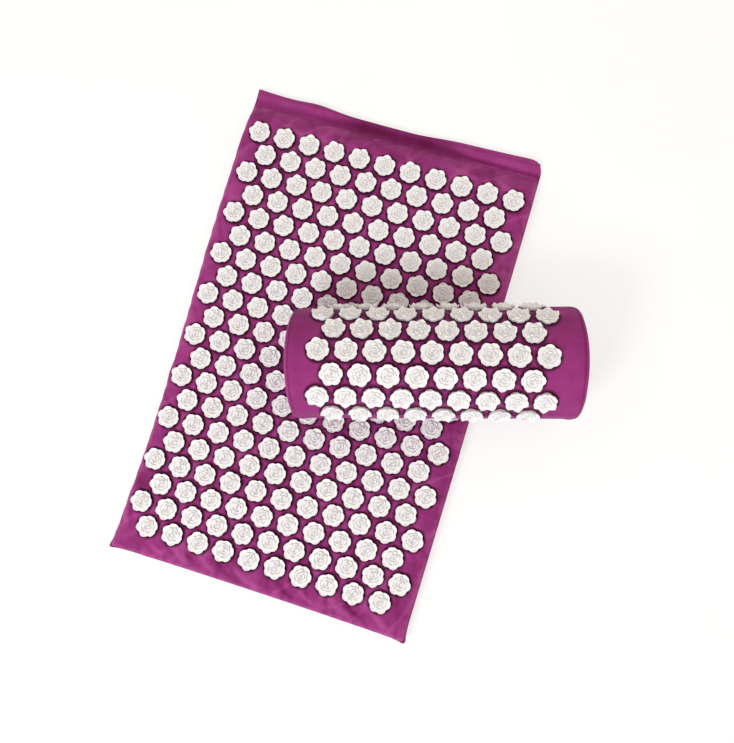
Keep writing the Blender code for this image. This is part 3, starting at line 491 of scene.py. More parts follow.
def settle(piece):
    """Bakes the piece's modifiers into its mesh."""
    graph = bpy.context.evaluated_depsgraph_get()
    made = bpy.data.meshes.new_from_object(piece.evaluated_get(graph), preserve_all_data_layers=True,
                                           depsgraph=graph)
    old = piece.data
    piece.modifiers.clear()
    piece.data = made
    bpy.data.meshes.remove(old)


def face_out(piece):
    mesh = bmesh.new()
    mesh.from_mesh(piece.data)
    bmesh.ops.recalc_face_normals(mesh, faces=mesh.faces)
    if mesh.calc_volume(signed=True) < 0.0:
        bmesh.ops.reverse_faces(mesh, faces=mesh.faces)
    mesh.to_mesh(piece.data)
    mesh.free()
    return piece


def refine(piece):
    finer = piece.modifiers.new("finer", "SUBSURF")
    finer.levels = finer.render_levels = 1
    settle(piece)


def thicken(piece):
    """Gives a panel its wall, inwards from its face."""
    wall = piece.modifiers.new("wall", "SOLIDIFY")
    wall.thickness = CLOTH_WALL
    wall.offset = -1.0
    wall.use_rim = True
    settle(piece)


def places_of(piece):
    places = np.empty(len(piece.data.vertices) * 3)
    piece.data.vertices.foreach_get("co", places)
    return places.reshape(-1, 3)


def normals_of(piece):
    normals = np.empty(len(piece.data.vertices) * 3)
    piece.data.vertices.foreach_get("normal", normals)
    return normals.reshape(-1, 3)


def put_places(piece, places):
    piece.data.vertices.foreach_set("co", np.asarray(places, np.float64).ravel())
    piece.data.update()


def mark(piece, name, values):
    """Keeps one number for each place of a piece, for its material to read."""
    layer = piece.data.attributes.new(name, "FLOAT", "POINT")
    layer.data.foreach_set("value", np.asarray(values, np.float32))


def noise_at(places, scale, seed):
    """Smooth noise in -1 to 1 at each place."""
    shift = Vector((seed * 7.3, seed * 3.1, seed * 5.7))
    return np.array([noise.noise(Vector(p) * scale + shift) for p in places])


FILL_PRESSURE, FILL_STEPS, FILL_QUALITY = 4.0, 20, 5
STIFFNESS, BENDING_STIFFNESS = 15.0, 0.5


def puff(name, places, faces, held, slack, most):
    """Where cloth lies once it is filled.

    A pressure simulation in which the held places stay. The others end no further than most from where they
    started.
    """
    places = np.asarray(places)
    shell = new_piece(name, places, faces, [], smooth=False)
    group = shell.vertex_groups.new(name="held")
    group.add([int(k) for k in np.flatnonzero(held)], 1.0, "REPLACE")
    cloth = shell.modifiers.new("filling", "CLOTH")
    settings = cloth.settings
    settings.quality = FILL_QUALITY
    settings.use_pressure = True
    settings.uniform_pressure_force = FILL_PRESSURE
    settings.effector_weights.gravity = 0.0
    settings.vertex_group_mass = "held"
    settings.shrink_min = -slack
    settings.tension_stiffness = settings.compression_stiffness = settings.shear_stiffness = STIFFNESS
    settings.bending_stiffness = BENDING_STIFFNESS
    cloth.point_cache.frame_start = 1
    cloth.point_cache.frame_end = FILL_STEPS
    scene = bpy.context.scene
    for step in range(1, FILL_STEPS + 1):
        scene.frame_set(step)
    graph = bpy.context.evaluated_depsgraph_get()
    filled = shell.evaluated_get(graph).to_mesh()
    moved = np.empty(len(filled.vertices) * 3)
    filled.vertices.foreach_get("co", moved)
    moved = moved.reshape(-1, 3)
    shell.evaluated_get(graph).to_mesh_clear()
    bpy.data.objects.remove(shell)
    scene.frame_set(1)
    shift = moved - places
    reach = np.linalg.norm(shift, axis=1, keepdims=True)
    return places + shift * np.minimum(1.0, most / np.maximum(reach, 1e-9))


# Pieces that repeat
PETAL_SHOULDER = 0.42


def petal_ring_tree():
    """A ring of pointed petals, each a bent wall with a peaked crest that leans outward."""
    tree, w, given, out = new_tree(
        "petal ring", "GeometryNodeTree",
        [("Count", "NodeSocketInt", 6), ("Radius", "NodeSocketFloat", 0.009),
         ("Half Arc", "NodeSocketFloat", 0.6), ("Bulge", "NodeSocketFloat", 0.001),
         ("Swirl", "NodeSocketFloat", 0.0), ("Height", "NodeSocketFloat", 0.0062),
         ("Thickness", "NodeSocketFloat", 0.001), ("Turn", "NodeSocketFloat", 0.0),
         ("Base", "NodeSocketFloat", 0.002), ("Lean", "NodeSocketFloat", 0.0005)],
        [("Geometry", "NodeSocketGeometry")])
    blank = w.add("GeometryNodeMeshCylinder", {"Vertices": 3, "Side Segments": 2, "Radius": 1.0, "Depth": 2.0},
                  fill_type="NONE")
    x, y, u = w.parts(w.add("GeometryNodeInputPosition").outputs[0])
    square = w.product(u, u)
    pinch = w.math("SUBTRACT", 1.0, square)
    across = w.product(y, 1.0 / math.sin(math.tau / 3))
    crest = w.math("GREATER_THAN", x, 0.5)
    angle = w.product(u, given["Half Arc"])
    radius = w.total(given["Radius"], w.product(square, given["Bulge"], -1.0), w.product(u, given["Swirl"]),
                     w.product(across, given["Thickness"], pinch), w.product(crest, given["Lean"]))
    peak = w.spread(pinch, 0.0, 1.0, PETAL_SHOULDER, 1.0)
    high = w.total(given["Base"], w.product(crest, peak, w.math("SUBTRACT", given["Height"], given["Base"])))
    place = w.vector(w.product(radius, w.math("COSINE", angle)), w.product(radius, w.math("SINE", angle)), high)
    bent = w.add("GeometryNodeSetPosition", {"Geometry": blank.outputs["Mesh"], "Position": place})
    petal = w.add("GeometryNodeMergeByDistance", {"Geometry": bent.outputs[0], "Distance": 0.00001})
    points = w.add("GeometryNodePoints", {"Count": given["Count"]})
    step = w.math("DIVIDE", math.tau, given["Count"])
    turn = w.total(w.product(w.add("GeometryNodeInputIndex").outputs[0], step), given["Turn"])
    ring = w.add("GeometryNodeInstanceOnPoints", {"Points": points.outputs[0], "Instance": petal.outputs[0],
                                                  "Rotation": w.vector(0.0, 0.0, turn)})
    real = w.add("GeometryNodeRealizeInstances", {"Geometry": ring.outputs[0]})
    w.feed(out["Geometry"], real.outputs[0])
    return tree


# Rings of petals, from the outermost in. Half Arc and Turn are in radians, Height is a share of the disc's
# height and the other sizes are shares of its radius.
PETAL_RINGS = (
    {"Count": 6, "Half Arc": 0.56, "Turn": 0.5236, "Height": 0.87,
     "Radius": 0.645, "Bulge": 0.060, "Swirl": 0.040, "Thickness": 0.090, "Lean": 0.050},
    {"Count": 4, "Half Arc": 0.86, "Turn": 0.20, "Height": 0.94,
     "Radius": 0.385, "Bulge": 0.050, "Swirl": 0.055, "Thickness": 0.090, "Lean": 0.035},
    {"Count": 2, "Half Arc": 1.35, "Turn": 0.90, "Height": 1.00,
     "Radius": 0.150, "Bulge": 0.030, "Swirl": 0.045, "Thickness": 0.085, "Lean": 0.015},
)
CUP_UNDERCUT, CUP_WALL, CUP_FLOOR = 0.11, 0.19, 0.44
CREST_BETWEEN_LOBES, CREST_ON_LOBES = 0.46, 0.90
LOBE_ROUNDNESS, VALLEY_ROUNDNESS, PETAL_FOOT = 0.7, 0.8, 0.9


def rosette_tree():
    """A cup with six pointed lobes and rings of petals inside it, set on each point with its own turning."""
    ring_tree = petal_ring_tree()
    tree, w, given, out = new_tree(
        "rosette discs", "GeometryNodeTree",
        [("Geometry", "NodeSocketGeometry", None), ("Radius", "NodeSocketFloat", DISC_RADIUS),
         ("Lobe Depth", "NodeSocketFloat", LOBE_DEPTH), ("Height", "NodeSocketFloat", DISC_HEIGHT),
         ("Cup Foot", "NodeSocketFloat", 0.0008), ("Material", "NodeSocketMaterial", None)],
        [("Geometry", "NodeSocketGeometry")])
    blank = w.add("GeometryNodeMeshCylinder", {"Vertices": 24, "Side Segments": 2, "Radius": 1.0, "Depth": 1.0},
                  fill_type="NGON")
    x, y, z = w.parts(w.add("GeometryNodeInputPosition").outputs[0])
    angle = w.math("ARCTAN2", y, x)
    foot = w.math("LESS_THAN", z, -0.25)
    inner = w.math("GREATER_THAN", z, 0.25)
    three_turns = w.product(angle, 3.0)
    round_lobe = w.math("POWER", w.math("ABSOLUTE", w.math("COSINE", three_turns)), LOBE_ROUNDNESS)
    valley = w.math("POWER", w.math("ABSOLUTE", w.math("SINE", three_turns)), VALLEY_ROUNDNESS)
    peaked_lobe = w.math("SUBTRACT", 1.0, valley)
    lobe = w.product(w.spread(round_lobe, 0.0, 1.0, -1.0, 1.0), given["Lobe Depth"])
    outline = w.total(given["Radius"], lobe)
    drawn_in = w.total(w.product(foot, CUP_UNDERCUT), w.product(inner, CUP_WALL))
    reach = w.product(outline, w.math("SUBTRACT", 1.0, drawn_in))
    floor = w.product(given["Height"], CUP_FLOOR)
    crest = w.product(given["Height"],
                      w.spread(peaked_lobe, 0.0, 1.0, CREST_BETWEEN_LOBES, CREST_ON_LOBES))
    edge = w.math("SUBTRACT", 1.0, w.total(foot, inner))
    high = w.total(w.product(edge, crest), w.product(inner, floor), w.product(foot, given["Cup Foot"], -1.0))
    place = w.vector(w.product(reach, w.math("COSINE", angle)), w.product(reach, w.math("SINE", angle)), high)
    cup = w.add("GeometryNodeSetPosition", {"Geometry": blank.outputs["Mesh"], "Position": place})
    joined = w.add("GeometryNodeJoinGeometry")
    w.feed(joined.inputs[0], cup.outputs[0])
    base = w.product(floor, PETAL_FOOT)
    for petals in PETAL_RINGS:
        ring = w.add("GeometryNodeGroup", node_tree=ring_tree)
        w.feed(ring.inputs["Base"], base)
        for label, value in petals.items():
            if label == "Height":
                value = w.product(given["Height"], value)
            elif label not in ("Count", "Half Arc", "Turn"):
                value = w.product(given["Radius"], value)
            w.feed(ring.inputs[label], value)
        w.feed(joined.inputs[0], ring.outputs[0])
    marked = w.add("GeometryNodeStoreNamedAttribute", {"Geometry": joined.outputs[0], "Name": "spot"},
                   data_type="FLOAT_VECTOR", domain="POINT")
    w.feed(marked.inputs["Value"], w.add("GeometryNodeInputPosition").outputs[0])
    set_on_points(w, given, out, marked.outputs[0])
    return tree


def set_on_points(w, given, out, shape):
    """The end of every tree here: the shape on each point, made real, with its material."""
    turning = w.add("GeometryNodeInputNamedAttribute", {"Name": "turning"}, data_type="FLOAT_VECTOR")
    rotation = w.add("FunctionNodeEulerToRotation", {"Euler": turning.outputs["Attribute"]})
    placed = w.add("GeometryNodeInstanceOnPoints",
                   {"Points": given["Geometry"], "Instance": shape, "Rotation": rotation.outputs[0]})
    real = w.add("GeometryNodeRealizeInstances", {"Geometry": placed.outputs[0]})
    coated = w.add("GeometryNodeSetMaterial", {"Geometry": real.outputs[0], "Material": given["Material"]})
    w.feed(out["Geometry"], coated.outputs[0])


def stitch_tree():
    """A stitch: a short bead of thread that dives into the cloth at both ends."""
    tree, w, given, out = new_tree(
        "stitches", "GeometryNodeTree",
        [("Geometry", "NodeSocketGeometry", None), ("Length", "NodeSocketFloat", 0.0026),
         ("Thread", "NodeSocketFloat", 0.00035), ("Material", "NodeSocketMaterial", None)],
        [("Geometry", "NodeSocketGeometry")])
    bead = w.add("GeometryNodeMeshUVSphere", {"Segments": 6, "Rings": 4, "Radius": 1.0})
    x, y, z = w.parts(w.add("GeometryNodeInputPosition").outputs[0])
    along = w.product(z, given["Length"], 0.5)
    sunk = w.product(w.product(z, z), given["Thread"], -1.0)
    place = w.vector(along, w.product(y, given["Thread"]), w.total(w.product(x, given["Thread"]), sunk))
    shaped = w.add("GeometryNodeSetPosition", {"Geometry": bead.outputs["Mesh"], "Position": place})
    set_on_points(w, given, out, shaped.outputs[0])
    return tree


# Shares of a zip tooth: where its waist is, how long that is, and how wide it is
WAIST_AT, WAIST_HALF, WAIST_WIDTH, CROWN_DRAW = 0.17, 0.25, 0.62, 0.5


def tooth_tree():
    """A zip tooth: a neck on the tape and a head that hooks the next one."""
    tree, w, given, out = new_tree(
        "zip teeth", "GeometryNodeTree",
        [("Geometry", "NodeSocketGeometry", None), ("Length", "NodeSocketFloat", 0.0030),
         ("Width", "NodeSocketFloat", 0.0012), ("Height", "NodeSocketFloat", 0.0013),
         ("Material", "NodeSocketMaterial", None)],
        [("Geometry", "NodeSocketGeometry")])
    block = w.add("GeometryNodeMeshCube", {"Size": (1.0, 1.0, 1.0), "Vertices X": 2, "Vertices Y": 4,
                                           "Vertices Z": 3})
    x, y, z = w.parts(w.add("GeometryNodeInputPosition").outputs[0])
    waist = w.math("ABSOLUTE", w.math("SUBTRACT", y, WAIST_AT))
    wide = w.total(WAIST_WIDTH, w.product(w.math("GREATER_THAN", waist, WAIST_HALF), 1.0 - WAIST_WIDTH))
    crown = w.math("SUBTRACT", 1.0, w.product(w.math("ABSOLUTE", z), CROWN_DRAW))
    place = w.vector(w.product(x, wide, given["Width"]), w.product(y, given["Length"], crown),
                     w.product(w.total(z, 0.5), given["Height"]))
    shaped = w.add("GeometryNodeSetPosition", {"Geometry": block.outputs["Mesh"], "Position": place})
    set_on_points(w, given, out, shaped.outputs[0])
    return tree


BRISTLE_CURL, BRISTLE_RISE = 2.4, 1.7


def bristle_tree():
    """One bristle of a closure tape, bent over at its tip into a hook or a loop."""
    tree, w, given, out = new_tree(
        "tape bristles", "GeometryNodeTree",
        [("Geometry", "NodeSocketGeometry", None), ("Height", "NodeSocketFloat", 0.0006),
         ("Bend", "NodeSocketFloat", 0.0004), ("Thread", "NodeSocketFloat", 0.00011),
         ("Material", "NodeSocketMaterial", None)],
        [("Geometry", "NodeSocketGeometry")])
    rod = w.add("GeometryNodeMeshCylinder", {"Vertices": 3, "Side Segments": 3, "Radius": 1.0, "Depth": 1.0},
                fill_type="NGON")
    x, y, z = w.parts(w.add("GeometryNodeInputPosition").outputs[0])
    up = w.total(z, 0.5)
    turn = w.product(up, BRISTLE_CURL)
    place = w.vector(w.total(w.product(x, given["Thread"]),
                             w.product(w.math("SUBTRACT", 1.0, w.math("COSINE", turn)), given["Bend"])),
                     w.product(y, given["Thread"]),
                     w.product(w.math("SINE", w.product(up, BRISTLE_RISE)), given["Height"]))
    shaped = w.add("GeometryNodeSetPosition", {"Geometry": rod.outputs["Mesh"], "Position": place})
    set_on_points(w, given, out, shaped.outputs[0])
    return tree


def repeat(name, tree, places, turnings, material, sizes=None, crisp=None):
    """One mesh of the tree's shape at each place, turned by each Euler turning."""
    seeds = new_piece(name + "_places", places, [], [])
    turning = seeds.data.attributes.new("turning", "FLOAT_VECTOR", "POINT")
    turning.data.foreach_set("vector", np.asarray(turnings, np.float32).ravel())
    maker = seeds.modifiers.new("maker", "NODES")
    maker.node_group = tree
    wanted = {"Material": material, **(sizes or {})}
    for item in tree.interface.items_tree:
        if item.in_out == "INPUT" and item.name in wanted:
            maker[item.identifier] = wanted[item.name]
    graph = bpy.context.evaluated_depsgraph_get()
    mesh = bpy.data.meshes.new_from_object(seeds.evaluated_get(graph), preserve_all_data_layers=True,
                                           depsgraph=graph)
    bpy.data.objects.remove(seeds)
    mesh.name = name
    mesh.shade_smooth()
    if crisp:
        mesh.set_sharp_from_angle(angle=math.radians(crisp))
    piece = bpy.data.objects.new(name, mesh)
    bpy.context.scene.collection.objects.link(piece)
    return face_out(piece)


ROSETTE = rosette_tree()
STITCH = stitch_tree()
TOOTH = tooth_tree()
BRISTLE = bristle_tree()


def turning_of(along, up):
    """Euler angles that turn X to run along and Z to point up."""
    up = Vector(up).normalized()
    along = Vector(along)
    along = (along - along.dot(up) * up).normalized()
    side = up.cross(along)
    return tuple(Matrix((along, side, up)).transposed().to_euler())


STITCH_SHARE, STITCH_SINK, THREAD = 0.8, 0.00005, 0.00032


def run_stitches(name, path, ups, pitch, body):
    """A seam's stitches along a path, with the cloth's outward direction at each of its points."""
    path = [Vector(p) for p in path]
    ups = [Vector(n) for n in ups]
    lengths = [0.0]
    for first, second in zip(path, path[1:]):
        lengths.append(lengths[-1] + (second - first).length)
    count = int(lengths[-1] / pitch)
    places, turnings = [], []
    at = 0
    for k in range(count):
        want = (k + 0.5) * lengths[-1] / count
        while lengths[at + 1] < want:
            at += 1
        share = (want - lengths[at]) / (lengths[at + 1] - lengths[at])
        up = ups[at].lerp(ups[at + 1], share).normalized()
        places.append(path[at].lerp(path[at + 1], share) - up * STITCH_SINK)
        turnings.append(turning_of(path[at + 1] - path[at], up))
    piece = repeat(name, STITCH, places, turnings, LOOKS["thread"],
                   {"Length": pitch * STITCH_SHARE, "Thread": THREAD})
    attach(piece, body)


def staggered(rows, long_row, pitch, row_step, first_is_long):
    """Places (x, y, number) of discs in rows that are long and one shorter in turn, from +Y down."""
    spots = []
    for row in range(rows):
        is_long = (row % 2 == 0) == first_is_long
        count = long_row if is_long else long_row - 1
        across = ((rows - 1) / 2 - row) * row_step
        for k in range(count):
            spots.append(((k - (count - 1) / 2) * pitch, across, len(spots)))
    return spots


# The mat's cover
def left_edge(y):
    share = 2.0 * y / MAT_LENGTH
    return -MAT_WIDTH / 2 + SIDE_DRAW * (1.0 - share ** 2) - SIDE_SWAY * np.sin(math.pi * share)


def right_edge(y):
    return MAT_WIDTH / 2 + SIDE_SWELL * (1.0 - (2.0 * y / MAT_LENGTH) ** 2)


def from_side(x, y):
    """How far a place lies inside the nearer long edge."""
    return np.minimum(x - left_edge(y), right_edge(y) - x)


EAR_TIP_REACH = 0.0022
RIGHT_SLACK, RIGHT_SLACK_FROM, RIGHT_SLACK_RUN = 0.004, 0.02, 0.07
LEFT_SLACK, LEFT_SLACK_AT, LEFT_SLACK_WIDTH = 0.0035, -0.115, 0.03


def mat_plan(x, y):
    """Where a point of the straight cut lies once the sides and ends are drawn in and the corners stay out."""
    bow = 1.0 - (2.0 * x / MAT_WIDTH) ** 2
    draw = np.where(y < 0.0, FOOT_DRAW * -y / (MAT_LENGTH / 2),
                    -LIP_DRAW * np.clip((y - CREASE) / LIP_WIDTH, 0.0, 1.0))
    away = np.hypot(np.abs(x) - MAT_WIDTH / 2, np.abs(y) - MAT_LENGTH / 2)
    ear = np.where(y < 0.0, FOOT_EAR, np.where(x < 0.0, HEAD_EAR, HEAD_ROUND))
    blunt = np.where(y < 0.0, EAR_TIP, 0.0) * np.exp(-(away / EAR_TIP_REACH) ** 2)
    out = ear * np.exp(-(away / CORNER_REACH) ** 2) - blunt
    slack = (RIGHT_SLACK * ease((x - RIGHT_SLACK_FROM) / RIGHT_SLACK_RUN)
             + LEFT_SLACK * np.exp(-((x - LEFT_SLACK_AT) / LEFT_SLACK_WIDTH) ** 2))
    past = np.clip((y - CREASE) / LIP_WIDTH, 0.0, 1.0) * slack
    across = blend(left_edge(y), right_edge(y), x / MAT_WIDTH + 0.5)
    return across + np.sign(x) * out, y + bow * draw + past + np.sign(y) * out


def mat_rolls(x, y, inset):
    """How far the cloth has risen from its seam, 0 on the edge to 1 past the roll."""
    side = from_side(x, y) - inset
    foot = y + MAT_LENGTH / 2 - FOOT_DRAW * (1.0 - (2.0 * x / MAT_WIDTH) ** 2) - inset
    return roll(side, EDGE_ROLL - inset) * roll(foot, EDGE_ROLL - inset)


def mat_seam(y):
    """Height of the side seam: halfway up the mat, and down between the lips at the closure."""
    return blend(LIP_TOP / 2, MID_SEAM, ease((CREASE - CLOTH - GAP - y) / SEAM_RUN))


SLOPE_FROM, SLOPE_START, SLOPE_TO, SLOPE_END = -0.10, 0.05, 0.115, 0.07


def lip_slope(x):
    """How far the lip slopes off instead of puffing up: 1 in the middle of the crease, 0 towards its ends."""
    return ease((x - SLOPE_FROM) / SLOPE_START) * ease((SLOPE_TO - x) / SLOPE_END)


def mat_top(x, y, inset=0.0):
    start = CREASE + CLOSURE_VALLEY
    closure = ease((start - inset - y) / (CLOSURE_SLOPE + CLOSURE_VALLEY))
    level = LIP_TOP - inset + (MAT_THICKNESS - LIP_TOP) * closure
    crown = MAT_CROWN * closure * (1.0 - (2.0 * x / MAT_WIDTH) ** 2) * (1.0 - (2.0 * y / MAT_LENGTH) ** 2)
    return blend(mat_seam(y) + GAP / 2, level + crown, mat_rolls(x, y, inset))


def mat_bottom(x, y, inset=0.0):
    return blend(mat_seam(y) - GAP / 2, inset, mat_rolls(x, y, inset))


def edged(low, high, roll_low, roll_high, most):
    """Stations from low to high, closer together where the cloth rolls over at each end."""
    shares = (0.0, 0.05, 0.16, 0.34, 0.6)
    start = [low + s * roll_low for s in shares]
    end = [high - s * roll_high for s in shares]
    return start + steps(low + roll_low, high - roll_high, most) + end[::-1]


def mat_net(most, inset=0.0):
    """The mat's flat cut as a net of places no further apart than most, from the foot to the crease."""
    xs = edged(-MAT_WIDTH / 2 + inset, MAT_WIDTH / 2 - inset, EDGE_ROLL, EDGE_ROLL, most)
    ys = edged(-MAT_LENGTH / 2 + inset, CREASE - inset, EDGE_ROLL, CLOSURE_ROLL, most)
    x, y = np.meshgrid(xs, ys, indexing="ij")
    return x, y


def mat_disc_spots():
    spots = staggered(MAT_ROWS, MAT_LONG_ROW, MAT_PITCH, MAT_ROW_STEP, True)
    return [(x, y + MAT_FIELD_MIDDLE, k) for x, y, k in spots]


def near_spots(x, y, spots):
    """The distance from each place on flat cloth to the nearest disc's middle."""
    nearest = np.full(x.shape, 1.0)
    for sx, sy, _ in spots:
        nearest = np.minimum(nearest, np.hypot(x - sx, y - sy))
    return nearest


# Soft folds of the mat's top: from, to, half width, and height or, below 0, depth
MAT_FOLDS = (
    ((-0.2005, -0.250), (-0.188, -0.306), 0.0034, 0.0010),
    ((-0.196, -0.262), (-0.180, -0.296), 0.0026, -0.0009),
    ((-0.172, -0.282), (-0.128, -0.322), 0.0034, 0.0014),
    ((-0.160, -0.300), (-0.134, -0.314), 0.0026, -0.0014),
    ((-0.138, -0.294), (-0.112, -0.318), 0.0028, -0.0013),
    ((-0.124, -0.292), (-0.092, -0.323), 0.0030, 0.0013),
    ((-0.108, -0.296), (-0.080, -0.321), 0.0028, -0.0015),
    ((-0.094, -0.290), (-0.054, -0.322), 0.0036, 0.0013),
    ((-0.066, -0.296), (-0.030, -0.323), 0.0026, -0.0010),
    ((-0.046, -0.298), (0.012, -0.323), 0.0036, 0.0011),
    ((0.016, -0.296), (0.060, -0.324), 0.0030, -0.0011),
    ((0.050, -0.300), (0.086, -0.322), 0.0028, 0.0009),
    ((0.086, -0.294), (0.136, -0.322), 0.0036, 0.0013),
    ((0.112, -0.296), (0.150, -0.320), 0.0026, -0.0010),
    ((0.142, -0.288), (0.188, -0.323), 0.0034, 0.0012),
    ((0.196, -0.240), (0.184, -0.306), 0.0032, -0.0010),
    ((-0.199, -0.120), (-0.190, -0.190), 0.0030, 0.0009),
    ((-0.201, 0.050), (-0.192, -0.020), 0.0030, 0.0009),
    ((-0.170, 0.292), (-0.060, 0.284), 0.0040, 0.0008),
    ((0.020, 0.298), (0.056, 0.266), 0.0034, 0.0010),
    ((0.080, 0.294), (0.150, 0.286), 0.0036, 0.0009),
    ((0.150, 0.292), (0.196, 0.272), 0.0034, 0.0011),
    ((0.196, 0.120), (0.188, 0.190), 0.0030, 0.0009),
)


FOLD_BEND = 0.08


def folds_at(x, y, folds):
    """Height of the folds: each is a ridge or hollow that fades out at both ends."""
    total = np.zeros(x.shape)
    for (x0, y0), (x1, y1), half, high in folds:
        length = math.hypot(x1 - x0, y1 - y0)
        along = ((x - x0) * (x1 - x0) + (y - y0) * (y1 - y0)) / length
        across = ((x - x0) * (y1 - y0) - (y - y0) * (x1 - x0)) / length
        bend = FOLD_BEND * length * (1.0 - (2.0 * along / length - 1.0) ** 2)
        inside = np.clip(along / length, 0.0, 1.0)
        fade = np.sin(math.pi * inside) * (along > 0.0) * (along < length)
        total += high * fade * np.exp(-((across - bend) / half) ** 2)
    return total


WRINKLES_ACROSS, WRINKLES_ALONG, WRINKLE_WIDTH = 34.0, 13.0, 0.22


def wrinkles_at(places, seed, turn):
    """Thin branching creases, 0 to 1, that run mostly one way."""
    c, k = math.cos(turn), math.sin(turn)
    u = (places[:, 0] * c + places[:, 1] * k) * WRINKLES_ACROSS
    v = (places[:, 1] * c - places[:, 0] * k) * WRINKLES_ALONG
    wave = noise_at(np.stack([u, v, np.zeros_like(u)], axis=-1), 1.0, seed)
    return np.clip(1.0 - np.abs(wave) / WRINKLE_WIDTH, 0.0, 1.0) ** 2


# The painted shade band past the crease, at the ends and in the middle: how far past, how wide and how dark
BAND_PAST, BAND_WIDTH, BAND_DEPTH, BAND_EDGE = (0.0058, 0.0090), (0.0042, 0.0095), (0.95, 1.45), 2.4
BAND_RIGHT_FROM, BAND_RIGHT_RUN, BAND_RIGHT_WIDTH, BAND_RIGHT_DEPTH = 0.07, 0.05, 0.70, 0.45
BAND_LEFT_TO, BAND_LEFT_RUN, BAND_LEFT_LOSS = -0.12, 0.05, 0.35


def closure_shade_band(x, y):
    """Painted shade in a band just past the crease: faint at the left, widest in the middle, narrow at the
    right.
    """
    slope = lip_slope(x)
    right = ease((x - BAND_RIGHT_FROM) / BAND_RIGHT_RUN)
    left = ease((BAND_LEFT_TO - x) / BAND_LEFT_RUN)
    middle = blend(*BAND_PAST, slope)
    width = blend(*BAND_WIDTH, slope) * blend(1.0, BAND_RIGHT_WIDTH, right)
    depth = blend(*BAND_DEPTH, slope) - BAND_LEFT_LOSS * left + BAND_RIGHT_DEPTH * right
    return -depth * np.exp(-np.abs((y - CREASE - middle) / width) ** BAND_EDGE)


# Noise scales and the heights of the relief between the mat's discs
BROAD_SCALE, SMALL_SCALE, SIDE_SCALE = 26.0, 70.0, 18.0
FOLD_GAIN, BROAD_SWELL, SMALL_SWELL = 1.2, 0.0010, 0.0005
RIDGE_AT_DISCS, RIDGE_IN_MARGIN, HOLLOW_IN_MARGIN = 0.00035, 0.0008, 0.0007
RIDGE_TURN, HOLLOW_TURN = -0.75, 0.45
SIDE_PUCKER, FOOT_PUCKER = 0.0004, 0.0006
SIDE_PUCKER_RATE, FOOT_PUCKER_RATE, SIDE_PUCKER_REACH, FOOT_PUCKER_REACH = 480.0, 430.0, 0.008, 0.010
UNDER_DISC_SINK, RIM_DIP = 0.0004, 0.0005
MAT_NET_STEP, UNDERSIDE_STEP, MAT_SLACK, MAT_FILL_MOST = 0.0050, 0.0116, 0.012, 0.0026
FLAT_ON_FLOOR = 0.0004
# How far from a disc's middle each kind of relief starts, and how far it takes to rise to its full height
RELIEF_FROM, RELIEF_RUN, SWELL_FROM, SWELL_RUN = 0.0125, 0.004, 0.014, 0.02
MARGIN_FROM, MARGIN_RUN, SEAM_CLEAR = 0.016, 0.008, 0.006
# Shares of the relief painted as a paler or darker tone: painted highlight on rises, ridges and along the hem,
# painted shade in hollows and along the very edge
FOLD_HIGHLIGHT_GAIN, FULL_TONE_HEIGHT, TONE_RANGE = 1.6, 0.0012, (-1.5, 1.0)
BROAD_SWELL_LIGHT_AND_SHADE, SMALL_SWELL_LIGHT_AND_SHADE, RIDGE_HIGHLIGHT, HOLLOW_SHADE = 0.25, 0.35, 0.8, 0.6
FOOT_PUCKER_LIGHT_AND_SHADE, SIDE_PUCKER_LIGHT_AND_SHADE = 0.35, 0.25
HEM_HIGHLIGHT, HEM_IN, HEM_WIDTH, EDGE_LINE_SHADE, RIM_WIDTH = 0.5, 0.004, 0.002, 0.6, 0.0012


def fill_mat_top():
    """The top panel's flat cut, its net's size, and its places once the cover is filled."""
    x, y = mat_net(MAT_NET_STEP)
    columns, rows = x.shape
    px, py = mat_plan(x, y)
    top = np.stack([px, py, mat_top(px, py)], axis=-1).reshape(-1, 3)
    low = np.stack([px, py, mat_bottom(px, py)], axis=-1).reshape(-1, 3)
    near = near_spots(px, py, mat_disc_spots()).reshape(-1)
    edge = np.zeros((columns, rows), bool)
    edge[[0, -1], :] = True
    edge[:, [0, -1]] = True
    held_top = (near < HELD_RADIUS) | edge.reshape(-1)
    held_low = (np.abs(low[:, 2]) < FLAT_ON_FLOOR) | edge.reshape(-1)
    moved = puff("mat_filling", np.concatenate([top, low]), closed_net_faces(columns, rows),
                 np.concatenate([held_top, held_low]), MAT_SLACK, MAT_FILL_MOST)
    return np.stack([x, y], axis=-1).reshape(-1, 2), x.shape, moved[:columns * rows]


